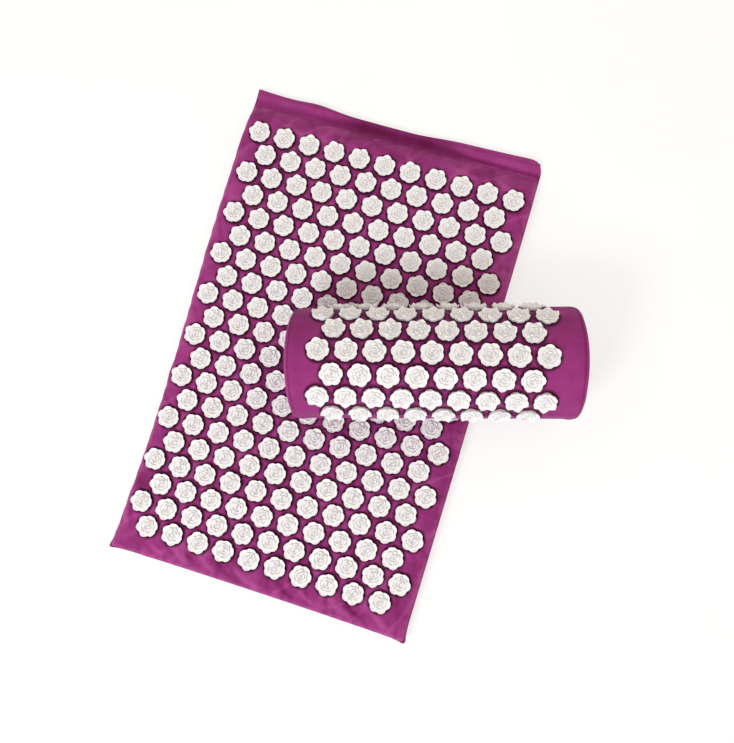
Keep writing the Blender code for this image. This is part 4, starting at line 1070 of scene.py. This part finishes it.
def make_mat_top():
    """The top panel, with its folds, wrinkles, puckered seams and the dip round each disc, and a tone mark of
    painted highlight on its rises and painted shade in its hollows.
    """
    cut, size, filled = fill_mat_top()
    panel = new_piece("mat_cover_top", filled, net_faces(*size), [LOOKS["mat_cotton"]], cut)
    refine(panel)
    places = places_of(panel)
    px, py = places[:, 0], places[:, 1]
    near = near_spots(px, py, mat_disc_spots())
    side = from_side(px, py)
    foot = py + MAT_LENGTH / 2
    clear = ease((near - RELIEF_FROM) / RELIEF_RUN)
    level = ease(np.minimum(np.minimum(side, foot), CREASE - py) / SEAM_CLEAR)
    margin = ease((near - MARGIN_FROM) / MARGIN_RUN)
    flat_places = np.stack([px, py, np.zeros_like(px)], axis=-1)
    folds = folds_at(px, py, MAT_FOLDS)
    broad = noise_at(flat_places, BROAD_SCALE, 1)
    small = noise_at(flat_places, SMALL_SCALE, 2)
    ridges = wrinkles_at(flat_places, 11, RIDGE_TURN)
    hollows = wrinkles_at(flat_places, 12, HOLLOW_TURN)
    side_wave = np.cos(py * SIDE_PUCKER_RATE + 3.0 * noise_at(flat_places, SIDE_SCALE, 3))
    foot_wave = np.cos(px * FOOT_PUCKER_RATE + 3.0 * noise_at(flat_places, SIDE_SCALE, 4))
    side_pucker = side_wave * np.exp(-side / SIDE_PUCKER_REACH)
    foot_pucker = foot_wave * np.exp(-foot / FOOT_PUCKER_REACH)
    lift = (FOLD_GAIN * folds + broad * BROAD_SWELL * ease((near - SWELL_FROM) / SWELL_RUN)
            + small * SMALL_SWELL)
    lift += (blend(RIDGE_AT_DISCS, RIDGE_IN_MARGIN, margin) * ridges
             - blend(RIDGE_AT_DISCS, HOLLOW_IN_MARGIN, margin) * hollows)
    lift += SIDE_PUCKER * side_pucker + FOOT_PUCKER * foot_pucker
    dip = np.exp(-((near - RIM_DIP_RADIUS) / RIM_DIP_WIDTH) ** 2)
    places[:, 2] += lift * clear * level - UNDER_DISC_SINK * (1.0 - clear) - RIM_DIP * dip
    put_places(panel, places)

    # Painted light: highlight on fold and wrinkle ridges, swells and the hem; shade in hollows, the band past
    # the crease and at the edge
    rim = np.minimum(side, foot)
    hem = np.exp(-((rim - HEM_IN) / HEM_WIDTH) ** 2)
    tone = np.where(folds > 0.0, FOLD_HIGHLIGHT_GAIN, 1.0) * folds / FULL_TONE_HEIGHT + closure_shade_band(px, py)
    tone += BROAD_SWELL_LIGHT_AND_SHADE * broad + SMALL_SWELL_LIGHT_AND_SHADE * small + RIDGE_HIGHLIGHT * ridges - HOLLOW_SHADE * hollows
    tone += FOOT_PUCKER_LIGHT_AND_SHADE * foot_pucker + SIDE_PUCKER_LIGHT_AND_SHADE * side_pucker + HEM_HIGHLIGHT * hem
    mark(panel, "near", near)
    mark(panel, "tone", np.clip(tone, *TONE_RANGE) - EDGE_LINE_SHADE * np.exp(-(rim / RIM_WIDTH) ** 2))
    thicken(panel)
    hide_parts("mat_top_panel")
    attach(panel, "mat")


UNDERSIDE_SCALE, UNDERSIDE_WAVE, UNDERSIDE_CLEAR, UNDERSIDE_END = 22.0, 0.0008, 0.03, 0.004


def make_mat_bottom():
    """The bottom panel, which runs on past the crease as the closure's lower lip."""
    x, y = mat_net(UNDERSIDE_STEP)
    lip = [CREASE + s * LIP_WIDTH for s in (0.25, 0.5, 0.75, 0.94, 1.0)]
    x, y = np.meshgrid(x[:, 0], list(y[0]) + lip, indexing="ij")
    px, py = mat_plan(x, y)
    pz = mat_bottom(px, py)
    flat_places = np.stack([px, py, np.zeros_like(px)], axis=-1).reshape(-1, 3)
    wave = noise_at(flat_places, UNDERSIDE_SCALE, 5).reshape(px.shape)
    inside = ease(from_side(px, py) / UNDERSIDE_CLEAR)
    pz = pz + np.where(py > CREASE - UNDERSIDE_END, 0.0, np.maximum(wave, 0.0) * UNDERSIDE_WAVE * inside)
    panel = new_piece("mat_cover_bottom", np.stack([px, py, pz], axis=-1).reshape(-1, 3),
                      [tuple(reversed(f)) for f in net_faces(*x.shape)], [LOOKS["mat_cotton"]],
                      np.stack([x, y], axis=-1).reshape(-1, 2))
    refine(panel)
    thicken(panel)
    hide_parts("mat_bottom_panel")
    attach(panel, "mat")


FOAM_NET_STEP, FOAM_SLACK, FOAM_SINK_AT_EDGE, FOAM_SINK = 0.02, 0.0015, 0.0034, 0.0012
SOFT_SIDE, SOFT_FOOT, SOFT_CREASE, FOAM_EDGE_DROP = 0.02, 0.04, 0.05, 0.006


def make_mat_foam():
    """The slab inside, a little softer at its edges than a cut block."""
    inset = CLOTH + 2 * GAP + FOAM_SLACK
    x, y = mat_net(FOAM_NET_STEP, inset)
    px, py = mat_plan(x, y)
    from_edges = (ease((from_side(px, py) - inset) / SOFT_SIDE) * ease((py + MAT_LENGTH / 2) / SOFT_FOOT)
                  * ease((CREASE - py) / SOFT_CREASE))
    high = mat_top(px, py, inset) - blend(FOAM_SINK_AT_EDGE, FOAM_SINK, from_edges)
    top = np.stack([px, py, np.maximum(high, MID_SEAM - FOAM_EDGE_DROP)], axis=-1).reshape(-1, 3)
    low = np.stack([px, py, mat_bottom(px, py, inset) + GAP], axis=-1).reshape(-1, 3)
    slab = new_piece("mat_foam_slab", np.concatenate([top, low]), closed_net_faces(*x.shape), [LOOKS["foam"]])
    face_out(slab)
    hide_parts("mat_foam")
    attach(slab, "mat")


LIP_STEP, TAPE_STEP = 0.006, 0.006
SWELL_AT_ENDS, SWELL_IN_MIDDLE = 0.0030, 0.0006
LIP_BROAD_SCALE, LIP_SMALL_SCALE, LIP_BROAD_WAVE, LIP_SMALL_WAVE = 24.0, 60.0, 0.0007, 0.0003
LIP_LIFT, LIP_LIFT_RUN, LIP_CLEAR = 0.0004, 0.3, 0.01
# Tone of the lip: random, with a painted highlight towards its puffed ends and painted shade along its edge
LIP_SMALL_TONE, LIP_END_HIGHLIGHT, LIP_RIM_SHADE, LIP_RIM_WIDTH = 0.3, 0.25, 0.5, 0.0016


def make_closure():
    """The upper lip and the two halves of its closure tape."""
    xs = edged(-MAT_WIDTH / 2, MAT_WIDTH / 2, EDGE_ROLL, EDGE_ROLL, LIP_STEP)
    ys = [CREASE + GAP + s * (LIP_WIDTH - GAP) for s in (0.0, 0.06, 0.2, 0.4, 0.6, 0.8, 0.93, 1.0)]
    x, y = np.meshgrid(xs, ys, indexing="ij")
    px, py = mat_plan(x, y)
    pz = mat_top(px, py)
    share = np.clip((y - CREASE - CLOSURE_VALLEY) / (LIP_WIDTH - CLOSURE_VALLEY), 0.0, 1.0)
    flat = np.stack([px, py, np.zeros_like(px)], axis=-1).reshape(-1, 3)
    wave = noise_at(flat, LIP_BROAD_SCALE, 6) * LIP_BROAD_WAVE
    wave = (wave + noise_at(flat, LIP_SMALL_SCALE, 7) * LIP_SMALL_WAVE).reshape(px.shape)
    inside = ease(from_side(px, py) / LIP_CLEAR)
    swell = blend(SWELL_AT_ENDS, SWELL_IN_MIDDLE, lip_slope(px)) * np.sin(math.pi * share)
    pz = pz + ((wave + LIP_LIFT) * ease(share / LIP_LIFT_RUN) + swell) * inside
    flap = new_piece("closure_lip", np.stack([px, py, pz], axis=-1).reshape(-1, 3), net_faces(*x.shape),
                     [LOOKS["mat_cotton"]], np.stack([x, y], axis=-1).reshape(-1, 2))
    refine(flap)
    places = places_of(flap)
    px, py = places[:, 0], places[:, 1]
    rim = np.minimum(MAT_WIDTH / 2 - np.abs(px), HEAD - LIP_DRAW - py)
    # Painted shade past the crease and along the lip's edge, and a painted highlight towards its ends
    tone = (closure_shade_band(px, py) + LIP_SMALL_TONE * noise_at(places, LIP_SMALL_SCALE, 10)
            + LIP_END_HIGHLIGHT * (1.0 - lip_slope(px)))
    mark(flap, "tone", np.clip(tone, *TONE_RANGE) - LIP_RIM_SHADE * np.exp(-(rim / LIP_RIM_WIDTH) ** 2))
    thicken(flap)
    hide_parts("closure_flap")
    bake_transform(flap)
    loop_base = CLOTH + GAP
    hook_base = CLOTH + TAPE_THICKNESS + 2 * GAP
    make_closure_strip("loop_strip", "closure_loop_strip", "mat", "loop_tape", loop_base, 1)
    make_closure_strip("hook_strip", "closure_hook_strip", "closure_flap", "hook_tape", hook_base, -1)


def strip_line(x):
    """Where the closure tapes' inner edge runs, bowed with the mat's head end."""
    inner = CREASE + (LIP_WIDTH - LIP_DRAW - TAPE_WIDTH) / 2
    return inner - LIP_DRAW / 2 * (1.0 - (2.0 * x / MAT_WIDTH) ** 2) + LIP_DRAW / 2


# Section of a closure tape, in shares of its width and of its woven ground's thickness
STRIP_SECTION = ((0.0, 0.2), (0.0, 0.8), (0.04, 1.0), (0.5, 1.0), (0.96, 1.0), (1.0, 0.8), (1.0, 0.2),
                 (0.96, 0.0), (0.5, 0.0), (0.04, 0.0))
TAPE_GROUND, CRISP_STRIP = 0.55, 60
BRISTLE_PITCH, BRISTLE_ROWS, BRISTLE_GAP = 0.0017, 6, 0.0001
HOOK_BEND, LOOP_BEND = 0.00022, 0.00040
BRISTLE_TURN, BRISTLE_TURN_SCALE = 2.4, 300.0


def make_closure_strip(name, node, body, slot, base, facing):
    """A woven tape with rounded edges, and the bristles on its inner side."""
    half = MAT_WIDTH / 2 - TAPE_END_MARGIN
    thick = TAPE_THICKNESS * TAPE_GROUND
    lift = base if facing > 0 else base + TAPE_THICKNESS - thick
    xs = steps(-half, half, TAPE_STEP)
    places, cut = [], []
    for x in xs:
        for s, t in STRIP_SECTION:
            places.append((x, strip_line(x) + s * TAPE_WIDTH, lift + t * thick))
            cut.append((x, s * TAPE_WIDTH + t * thick))
    strip = face_out(new_piece(name, places, strip_faces(len(xs), len(STRIP_SECTION)), [LOOKS[slot]], cut))
    strip.data.set_sharp_from_angle(angle=math.radians(CRISP_STRIP))
    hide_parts(node)
    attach(strip, body)
    spots, turnings = [], []
    for i in range(int(2 * half / BRISTLE_PITCH) - 2):
        for j in range(BRISTLE_ROWS):
            x = -half + (i + 1.0 + 0.5 * (j % 2)) * BRISTLE_PITCH
            y = strip_line(x) + (j + 0.75) * TAPE_WIDTH / (BRISTLE_ROWS + 0.5)
            spots.append((x, y, lift + (thick if facing > 0 else 0.0)))
            turn = BRISTLE_TURN * noise.noise(Vector((x * BRISTLE_TURN_SCALE, y * BRISTLE_TURN_SCALE, 0.0)))
            turnings.append(turning_of((math.cos(turn), math.sin(turn), 0.0), (0.0, 0.0, facing)))
    high = TAPE_THICKNESS - thick - BRISTLE_GAP
    bristles = repeat(name + "_bristles", BRISTLE, spots, turnings, LOOKS[slot],
                      {"Height": high, "Bend": HOOK_BEND if facing < 0 else LOOP_BEND})
    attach(bristles, body)


CRISP_DISC = 42
TIP_SHARE, TIP_SCALE = 0.05, 90.0


def make_mat_discs():
    """The mat's discs, each tipped a little by the cloth under it."""
    places, turnings = [], []
    for x, y, k in mat_disc_spots():
        tip_x = noise.noise(Vector((x * TIP_SCALE, y * TIP_SCALE, 1.0)))
        tip_y = noise.noise(Vector((x * TIP_SCALE, y * TIP_SCALE, 9.0)))
        up = Vector((0.0, 0.0, 1.0)) + Vector((tip_x, tip_y, 0.0)) * TIP_SHARE
        turn = k * TURN_PER_DISC
        places.append((x, y, float(mat_top(np.array(x), np.array(y)))))
        turnings.append(turning_of((math.cos(turn), math.sin(turn), 0.0), up))
    discs = repeat("mat_discs", ROSETTE, places, turnings, LOOKS["disc_plastic"], crisp=CRISP_DISC)
    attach(discs, "mat")


# The pillow's cover
def pillow_section(angle, inset):
    """The pillow's D-shaped section: y and z at an angle from its top, turning towards -Y."""
    reach = (PILLOW_RADIUS - inset) ** -CORNER_POWER
    reach = reach + (np.maximum(-np.cos(angle), 0.0) / (AXIS_HEIGHT - inset)) ** CORNER_POWER
    reach = reach ** (-1.0 / CORNER_POWER)
    return -reach * np.sin(angle), AXIS_HEIGHT + reach * np.cos(angle)


def pillow_half_length(angle):
    return PILLOW_LENGTH / 2 - END_LEAN * (1.0 - np.maximum(np.cos(angle), 0.0))


def on_pillow(x, angle, inset=0.0):
    """Places on the pillow's skin, which rolls in at both ends."""
    draw = END_ROLL_DEPTH * (1.0 - roll(pillow_half_length(angle) - np.abs(x), END_ROLL))
    y, z = pillow_section(angle, inset + draw)
    return np.stack([x + 0.0 * y, y, z], axis=-1)


def to_place(places):
    """The pillow's own places, moved to where it lies on the mat."""
    turn = np.array(PILLOW_PLACE.to_3x3())
    return np.asarray(places) @ turn.T + np.array(PILLOW_PLACE.translation)


def pillow_disc_spots():
    """Places (x, arc, number) of the pillow's discs, with the arc measured round from its top."""
    turn = PILLOW_FIELD_TURN * PILLOW_RADIUS
    lean, keep = math.sin(PILLOW_FIELD_SKEW), math.cos(PILLOW_FIELD_SKEW)
    spots = staggered(PILLOW_ROWS, PILLOW_LONG_ROW, PILLOW_PITCH, PILLOW_ROW_STEP, False)
    return [(PILLOW_FIELD_SHIFT + keep * x + lean * across, turn + lean * x - keep * across, k)
            for x, across, k in spots]


AROUND_STEP, ALONG_STEP = 0.074, 0.030
NEAR_ENDS = (0.004, 0.014, 0.032, 0.058)
CAP_RINGS = (0.93, 0.84, 0.72, 0.58, 0.42, 0.24, 0.10)
PILLOW_SLACK, PILLOW_FILL_MOST = 0.006, 0.0022
FLAT_UNDERSIDE, ZIP_HOLD = -0.40, 0.01
ZIP_FROM, ZIP_TO = math.tau + ZIP_ANGLE - ZIP_HALF_ANGLE, math.tau + ZIP_ANGLE + ZIP_HALF_ANGLE
WRAP_DIP = 0.0006
PILLOW_BROAD_SCALE, PILLOW_SMALL_SCALE, PILLOW_BROAD_WAVE, PILLOW_SMALL_WAVE = 20.0, 60.0, 0.0005, 0.0002
# Painted highlight on the end seams, painted shade in a fold just inside them, and painted shade towards the
# far side
END_SEAM_HIGHLIGHT, END_RIDGE_WIDTH, END_FOLD_SHADE, END_FOLD_IN, END_FOLD_WIDTH = 0.9, 0.0014, 0.8, 0.0040, 0.0012
FAR_SHADE, FAR_SHADE_FROM, FAR_SHADE_RUN, WRAP_TONE = 0.35, -0.01, 0.06, 0.3


def pillow_caps(angles, along):
    """Places and faces of both end panels. Each face comes with its side, -1 or 1."""
    around = len(angles)
    middle = PILLOW_LENGTH / 2 - END_LEAN / 2
    places, faces = [], []
    start = along * around
    for side, row in ((-1, 0), (1, along - 1)):
        ys, zs = pillow_section(angles, END_ROLL_DEPTH)
        before = [row * around + k for k in range(around)]
        for share in CAP_RINGS:
            reach = blend(middle, pillow_half_length(angles), share * share) + END_CROWN * (1.0 - share * share)
            high = AXIS_HEIGHT + share * (zs - AXIS_HEIGHT)
            places.append(np.stack([side * reach, share * ys, high], axis=-1))
            ring = [start + k for k in range(around)]
            for k in range(around):
                j = (k + 1) % around
                quad = (before[k], before[j], ring[j], ring[k])
                faces.append((side, quad if side < 0 else quad[::-1]))
            before = ring
            start += around
        places.append(np.array([[side * (middle + END_CROWN), 0.0, AXIS_HEIGHT]]))
        for k in range(around):
            fan = (before[k], before[(k + 1) % around], start)
            faces.append((side, fan if side < 0 else fan[::-1]))
        start += 1
    return places, faces


def mark_wrap(piece, spots, arc, near):
    """The wrap's marks for its material: the discs, a painted highlight on the end seams with painted shade
    just inside them, and painted shade towards the far side.
    """
    end = pillow_half_length(arc / PILLOW_RADIUS) - np.abs(spots[:, 0])
    # Painted highlight on the seam and painted shade in the fold inside it
    seam = (END_SEAM_HIGHLIGHT * np.exp(-(end / END_RIDGE_WIDTH) ** 2)
            - END_FOLD_SHADE * np.exp(-((end - END_FOLD_IN) / END_FOLD_WIDTH) ** 2))
    far = ease((spots[:, 1] - FAR_SHADE_FROM) / FAR_SHADE_RUN)
    mark(piece, "near", near)
    mark(piece, "tone", seam + WRAP_TONE * noise_at(spots, PILLOW_SMALL_SCALE, 14) - FAR_SHADE * far)


def make_pillow_cover():
    """Wrap, base and two ends, filled together in one simulation and then parted at their seams."""
    wrap = steps(ZIP_ANGLE + ZIP_HALF_ANGLE, FRONT_SEAM_ANGLE, AROUND_STEP)
    base = steps(FRONT_SEAM_ANGLE, ZIP_FROM, AROUND_STEP)[1:]
    zone = steps(ZIP_FROM, ZIP_TO, AROUND_STEP)[1:-1]
    angles = np.array(wrap + base + zone)
    shares = np.array([-1.0] + [-1.0 + s for s in NEAR_ENDS] + steps(-0.925, 0.925, ALONG_STEP)
                      + [1.0 - s for s in reversed(NEAR_ENDS)] + [1.0])
    s, a = np.meshgrid(shares, angles, indexing="ij")
    x = s * pillow_half_length(a)
    skin = on_pillow(x, a).reshape(-1, 3)
    around, along = len(angles), len(shares)
    cap_places, cap_faces = pillow_caps(angles, along)
    places = np.concatenate([skin] + cap_places)
    arc = a.reshape(-1) * PILLOW_RADIUS
    on_skin = slice(0, along * around)
    near = np.full(len(places), 1.0)
    near[on_skin] = near_spots(x.reshape(-1), arc, pillow_disc_spots())
    held = near < HELD_RADIUS
    held[on_skin] |= np.cos(a.reshape(-1)) < FLAT_UNDERSIDE
    held[on_skin] |= a.reshape(-1) > ZIP_FROM - ZIP_HOLD
    for row in (0, along - 1):
        held[row * around:(row + 1) * around] = True
    faces = skin_faces(along, around) + [face for _, face in cap_faces]
    moved = puff("pillow_filling", places, faces, held, PILLOW_SLACK, PILLOW_FILL_MOST)

    def panel(name, node, picked, kept_faces, cut):
        index = {old: new for new, old in enumerate(picked)}
        rows = [tuple(index[k] for k in f) for f in kept_faces]
        piece = new_piece(name, moved[picked], rows, [LOOKS["pillow_cotton"]], cut)
        refine(piece)
        spots = places_of(piece)
        normals = normals_of(piece)
        layer = (noise_at(spots, PILLOW_BROAD_SCALE, 8) * PILLOW_BROAD_WAVE
                 + noise_at(spots, PILLOW_SMALL_SCALE, 9) * PILLOW_SMALL_WAVE)
        if name == "pillow_cover_wrap":
            spot_arc = np.arctan2(-spots[:, 1], spots[:, 2] - AXIS_HEIGHT) * PILLOW_RADIUS
            near_disc = near_spots(spots[:, 0], spot_arc, pillow_disc_spots())
            layer = layer - WRAP_DIP * np.exp(-((near_disc - RIM_DIP_RADIUS) / RIM_DIP_WIDTH) ** 2)
            mark_wrap(piece, spots, spot_arc, near_disc)
        put_places(piece, to_place(spots + normals * layer[:, None]))
        thicken(piece)
        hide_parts(node)
        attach(piece, "pillow")

    first_base, last_base = len(wrap) - 1, len(wrap) + len(base) - 1
    flat_cut = np.stack([x.reshape(-1), arc], axis=-1)
    for name, node, low, high in (("pillow_cover_wrap", "pillow_wrap_panel", 0, first_base),
                                  ("pillow_cover_base", "pillow_base_panel", first_base, last_base)):
        picked = [i * around + k for i in range(along) for k in range(low, high + 1)]
        kept = [(i * around + k, (i + 1) * around + k, (i + 1) * around + k + 1, i * around + k + 1)
                for i in range(along - 1) for k in range(low, high)]
        panel(name, node, picked, kept, flat_cut[picked])
    for side, name, node in ((-1, "pillow_cover_left", "pillow_end_left"),
                             (1, "pillow_cover_right", "pillow_end_right")):
        kept = [face for face_side, face in cap_faces if face_side == side]
        picked = sorted({k for face in kept for k in face})
        panel(name, node, picked, kept, places[picked][:, 1:])


BLOCK_SLACK, BLOCK_END_SINK, BLOCK_MIDDLE_SINK, BLOCK_STEP, CRISP_BLOCK = 0.0004, 0.0030, 0.006, 0.13, 50


def make_pillow_foam():
    """The D-section block inside the cover."""
    inset = CLOTH + 2 * GAP + BLOCK_SLACK
    angles = np.array(steps(0.0, math.tau, BLOCK_STEP)[:-1])
    shares = np.array([-1.0, -0.99, -0.965, -0.93, -0.5, 0.0, 0.5, 0.93, 0.965, 0.99, 1.0])
    s, a = np.meshgrid(shares, angles, indexing="ij")
    x = s * (pillow_half_length(a) - BLOCK_END_SINK)
    skin = on_pillow(x, a, inset).reshape(-1, 3)
    around, along = len(angles), len(shares)
    faces = skin_faces(along, around)
    tip = PILLOW_LENGTH / 2 - BLOCK_MIDDLE_SINK
    places = to_place(np.concatenate([skin, np.array([[-tip, 0.0, AXIS_HEIGHT], [tip, 0.0, AXIS_HEIGHT]])]))
    for row, middle, order in ((0, along * around, 1), (along - 1, along * around + 1, -1)):
        for k in range(around):
            j = (k + 1) % around
            faces.append((row * around + k, row * around + j, middle)[::order])
    block = face_out(new_piece("pillow_foam_block", places, faces, [LOOKS["foam"]]))
    block.data.set_sharp_from_angle(angle=math.radians(CRISP_BLOCK))
    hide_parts("pillow_foam")
    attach(block, "pillow")


PILLOW_CUP_FOOT = 0.0016


def make_pillow_discs():
    """The pillow's discs, each square to the skin and let into it a little."""
    places, turnings = [], []
    turn_out = PILLOW_PLACE.to_3x3()
    for x, arc, k in pillow_disc_spots():
        angle = arc / PILLOW_RADIUS
        spot = on_pillow(np.array(x), np.array(angle))
        across = Vector((0.0, -math.cos(angle), -math.sin(angle)))
        up = Vector((0.0, -math.sin(angle), math.cos(angle)))
        turn = k * TURN_PER_DISC
        along = math.cos(turn) * Vector((1.0, 0.0, 0.0)) + math.sin(turn) * across
        places.append(tuple(to_place(spot)))
        turnings.append(turning_of(turn_out @ along, turn_out @ up))
    discs = repeat("pillow_discs", ROSETTE, places, turnings, LOOKS["disc_plastic"],
                   {"Cup Foot": PILLOW_CUP_FOOT}, crisp=CRISP_DISC)
    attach(discs, "pillow")


# The pillow's zip
def on_flank(x, across, out):
    """A place by the zip: so far across from its middle line, and so far out from the skin."""
    angle = ZIP_ANGLE + across / PILLOW_RADIUS
    draw = END_ROLL_DEPTH * (1.0 - roll(pillow_half_length(angle) - np.abs(x), END_ROLL))
    radius = PILLOW_RADIUS + out - draw
    return np.array([x, float(-radius * math.sin(angle)), float(AXIS_HEIGHT + radius * math.cos(angle))])


TOOTH_PITCH, TOOTH_LENGTH, TOOTH_WIDTH, TOOTH_OFFSET = 0.0022, 0.0034, 0.0019, 0.0006
CHAIN_MARGIN, TAPE_MARGIN, CRISP_TOOTH = 0.008, 0.0002, 40


# Section of a zip tape, its corded edge first: across from the zip's middle line, and out from the skin
ZIP_TAPE_SECTION = (
    (0.0003, 0.0), (0.0006, 0.0006), (0.0014, 0.0007), (0.0020, 0.0001), (0.0050, 0.00005), (0.0083, 0.0),
    (ZIP_TAPE_WIDTH, -0.0006), (0.0050, -0.0006), (0.0014, -0.0006), (0.0004, -0.0006))


def make_zip():
    """Two woven tapes with a cord along the edge of each, and the teeth crimped on the cords."""
    limit = float(pillow_half_length(np.array(ZIP_ANGLE))) - TAPE_MARGIN
    xs = [-limit, -limit + 0.002, -limit + 0.006] + steps(-limit + 0.012, limit - 0.012, TAPE_STEP)
    xs += [limit - 0.006, limit - 0.002, limit]
    for side, name, node in ((1, "zip_tape_high", "zip_tape_upper"), (-1, "zip_tape_low", "zip_tape_lower")):
        places, cut = [], []
        for x in xs:
            for across, out in ZIP_TAPE_SECTION:
                places.append(on_flank(x, side * across, out))
                cut.append((x, across))
        tape = face_out(new_piece(name, to_place(places), strip_faces(len(xs), len(ZIP_TAPE_SECTION)),
                                  [LOOKS["zip_tape"]], cut))
        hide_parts(node)
        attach(tape, "pillow")
    count = int((ZIP_LENGTH - CHAIN_MARGIN) / TOOTH_PITCH)
    spots, turnings = [], []
    turn_out = PILLOW_PLACE.to_3x3()
    up = turn_out @ Vector((0.0, -math.sin(ZIP_ANGLE), math.cos(ZIP_ANGLE)))
    for k in range(count):
        side = 1 if k % 2 else -1
        x = (k - (count - 1) / 2) * TOOTH_PITCH
        spots.append(tuple(to_place(on_flank(x, side * TOOTH_OFFSET, 0.0))))
        turnings.append(turning_of(turn_out @ Vector((side, 0.0, 0.0)), up))
    teeth = repeat("zip_chain", TOOTH, spots, turnings, LOOKS["zip_teeth"],
                   {"Length": TOOTH_LENGTH, "Width": TOOTH_WIDTH}, crisp=CRISP_TOOTH)
    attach(teeth, "pillow")


def finish_metal():
    """The zip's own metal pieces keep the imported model's shapes and get their metal."""
    for name in ("zip_slider", "zip_pull", "zip_stop_left", "zip_stop_right"):
        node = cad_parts[name]
        node.data.materials.clear()
        node.data.materials.append(LOOKS["zip_metal"])


SEAM_HALF, SEAM_POINTS, SEAM_FROM_EDGE, SEAM_LIFT, SEAM_PITCH = 0.194, 120, 0.0035, 0.0003, 0.0032


def sew():
    """The row of stitches that holds the closure's tape."""
    line = []
    for x in np.linspace(-SEAM_HALF, SEAM_HALF, SEAM_POINTS):
        px, py = mat_plan(np.array(x), np.array(HEAD - SEAM_FROM_EDGE))
        line.append((float(px), float(py), LIP_TOP + SEAM_LIFT))
    ups = [(0.0, 0.0, 1.0)] * len(line)
    run_stitches("closure_stitches", line, ups, SEAM_PITCH, "closure_flap")


FLOOR_HALF, FLOOR_DROP, FLOOR_GLOW = 6.0, 0.0003, 0.68
FLOOR_TONES, FLOOR_GLOW_COLOUR = ((0.30, 0.30, 0.295, 1.0), (0.32, 0.32, 0.315, 1.0)), (1.0, 0.995, 0.99, 1.0)
SKY_LIGHT, SKY_SEEN = 0.75, 1.0
SKY_COLOUR, SKY_COLOUR_SEEN = (1.0, 0.92, 0.83, 1.0), (1.0, 1.0, 1.0, 1.0)
AIM = (0.05, 0.0, 0.05)
FOCUS_IN_PIXELS, IMAGE_SIDE_IN_PIXELS, SENSOR = 800.0, 743.0, 36.0
CAMERA_PLACE, CAMERA_TURNS = (0.1632, -0.0766, 1.080), (("X", -5.16), ("Y", -4.33), ("Z", -16.98))


def make_lamp(name, place, size, power, colour):
    data = bpy.data.lights.new(name, "AREA")
    data.size = size
    data.energy = power
    data.color = colour
    light = bpy.data.objects.new(name, data)
    light.location = place
    light.rotation_euler = (Vector(AIM) - Vector(place)).to_track_quat("-Z", "Y").to_euler()
    bpy.context.scene.collection.objects.link(light)


def make_stage():
    """Pale floor, soft light from the near left, and the camera."""
    corners = ((-1, -1), (1, -1), (1, 1), (-1, 1))
    floor = new_piece("floor", [(x * FLOOR_HALF, y * FLOOR_HALF, -FLOOR_DROP) for x, y in corners],
                      [(0, 1, 2, 3)], [])
    paper, w, shader = new_material("pale floor", roughness=0.9)
    place = w.add("ShaderNodeTexCoord").outputs["Object"]
    tone = w.spread(w.noise(place, 3.0, 2.0), 0.3, 0.7)
    w.feed(shader.inputs["Base Color"], w.mix(tone, *FLOOR_TONES))
    shader.inputs["Emission Color"].default_value = FLOOR_GLOW_COLOUR
    shader.inputs["Emission Strength"].default_value = FLOOR_GLOW
    floor.data.materials.append(paper)

    world = bpy.data.worlds.new("studio")
    bpy.context.scene.world = world
    world.use_nodes = True
    w = Wiring(world.node_tree)
    background = world.node_tree.nodes["Background"]
    seen = w.add("ShaderNodeLightPath").outputs["Is Camera Ray"]
    w.feed(background.inputs["Color"], w.mix(seen, SKY_COLOUR, SKY_COLOUR_SEEN))
    w.feed(background.inputs["Strength"], w.spread(seen, 0.0, 1.0, SKY_LIGHT, SKY_SEEN))

    make_lamp("key", (-0.75, -2.1, 2.0), size=0.9, power=52.0, colour=(0.87, 0.92, 1.0))
    make_lamp("fill", (1.2, 1.6, 2.2), size=2.2, power=8.0, colour=(1.0, 0.93, 0.86))

    data = bpy.data.cameras.new("camera")
    data.lens = FOCUS_IN_PIXELS * SENSOR / IMAGE_SIDE_IN_PIXELS
    data.sensor_width = SENSOR
    data.sensor_fit = "AUTO"
    camera = bpy.data.objects.new("camera", data)
    turn = Matrix.Identity(3)
    for axis, degrees in CAMERA_TURNS:
        turn = turn @ Matrix.Rotation(math.radians(degrees), 3, axis)
    camera.matrix_world = Matrix.Translation(CAMERA_PLACE) @ turn.transposed().to_4x4()
    bpy.context.scene.collection.objects.link(camera)
    bpy.context.scene.camera = camera
    bpy.context.scene.view_settings.view_transform = "Standard"


make_stage()
make_mat_top()
make_mat_bottom()
make_mat_foam()
make_closure()
make_mat_discs()
make_pillow_cover()
make_pillow_foam()
make_pillow_discs()
make_zip()
finish_metal()
sew()
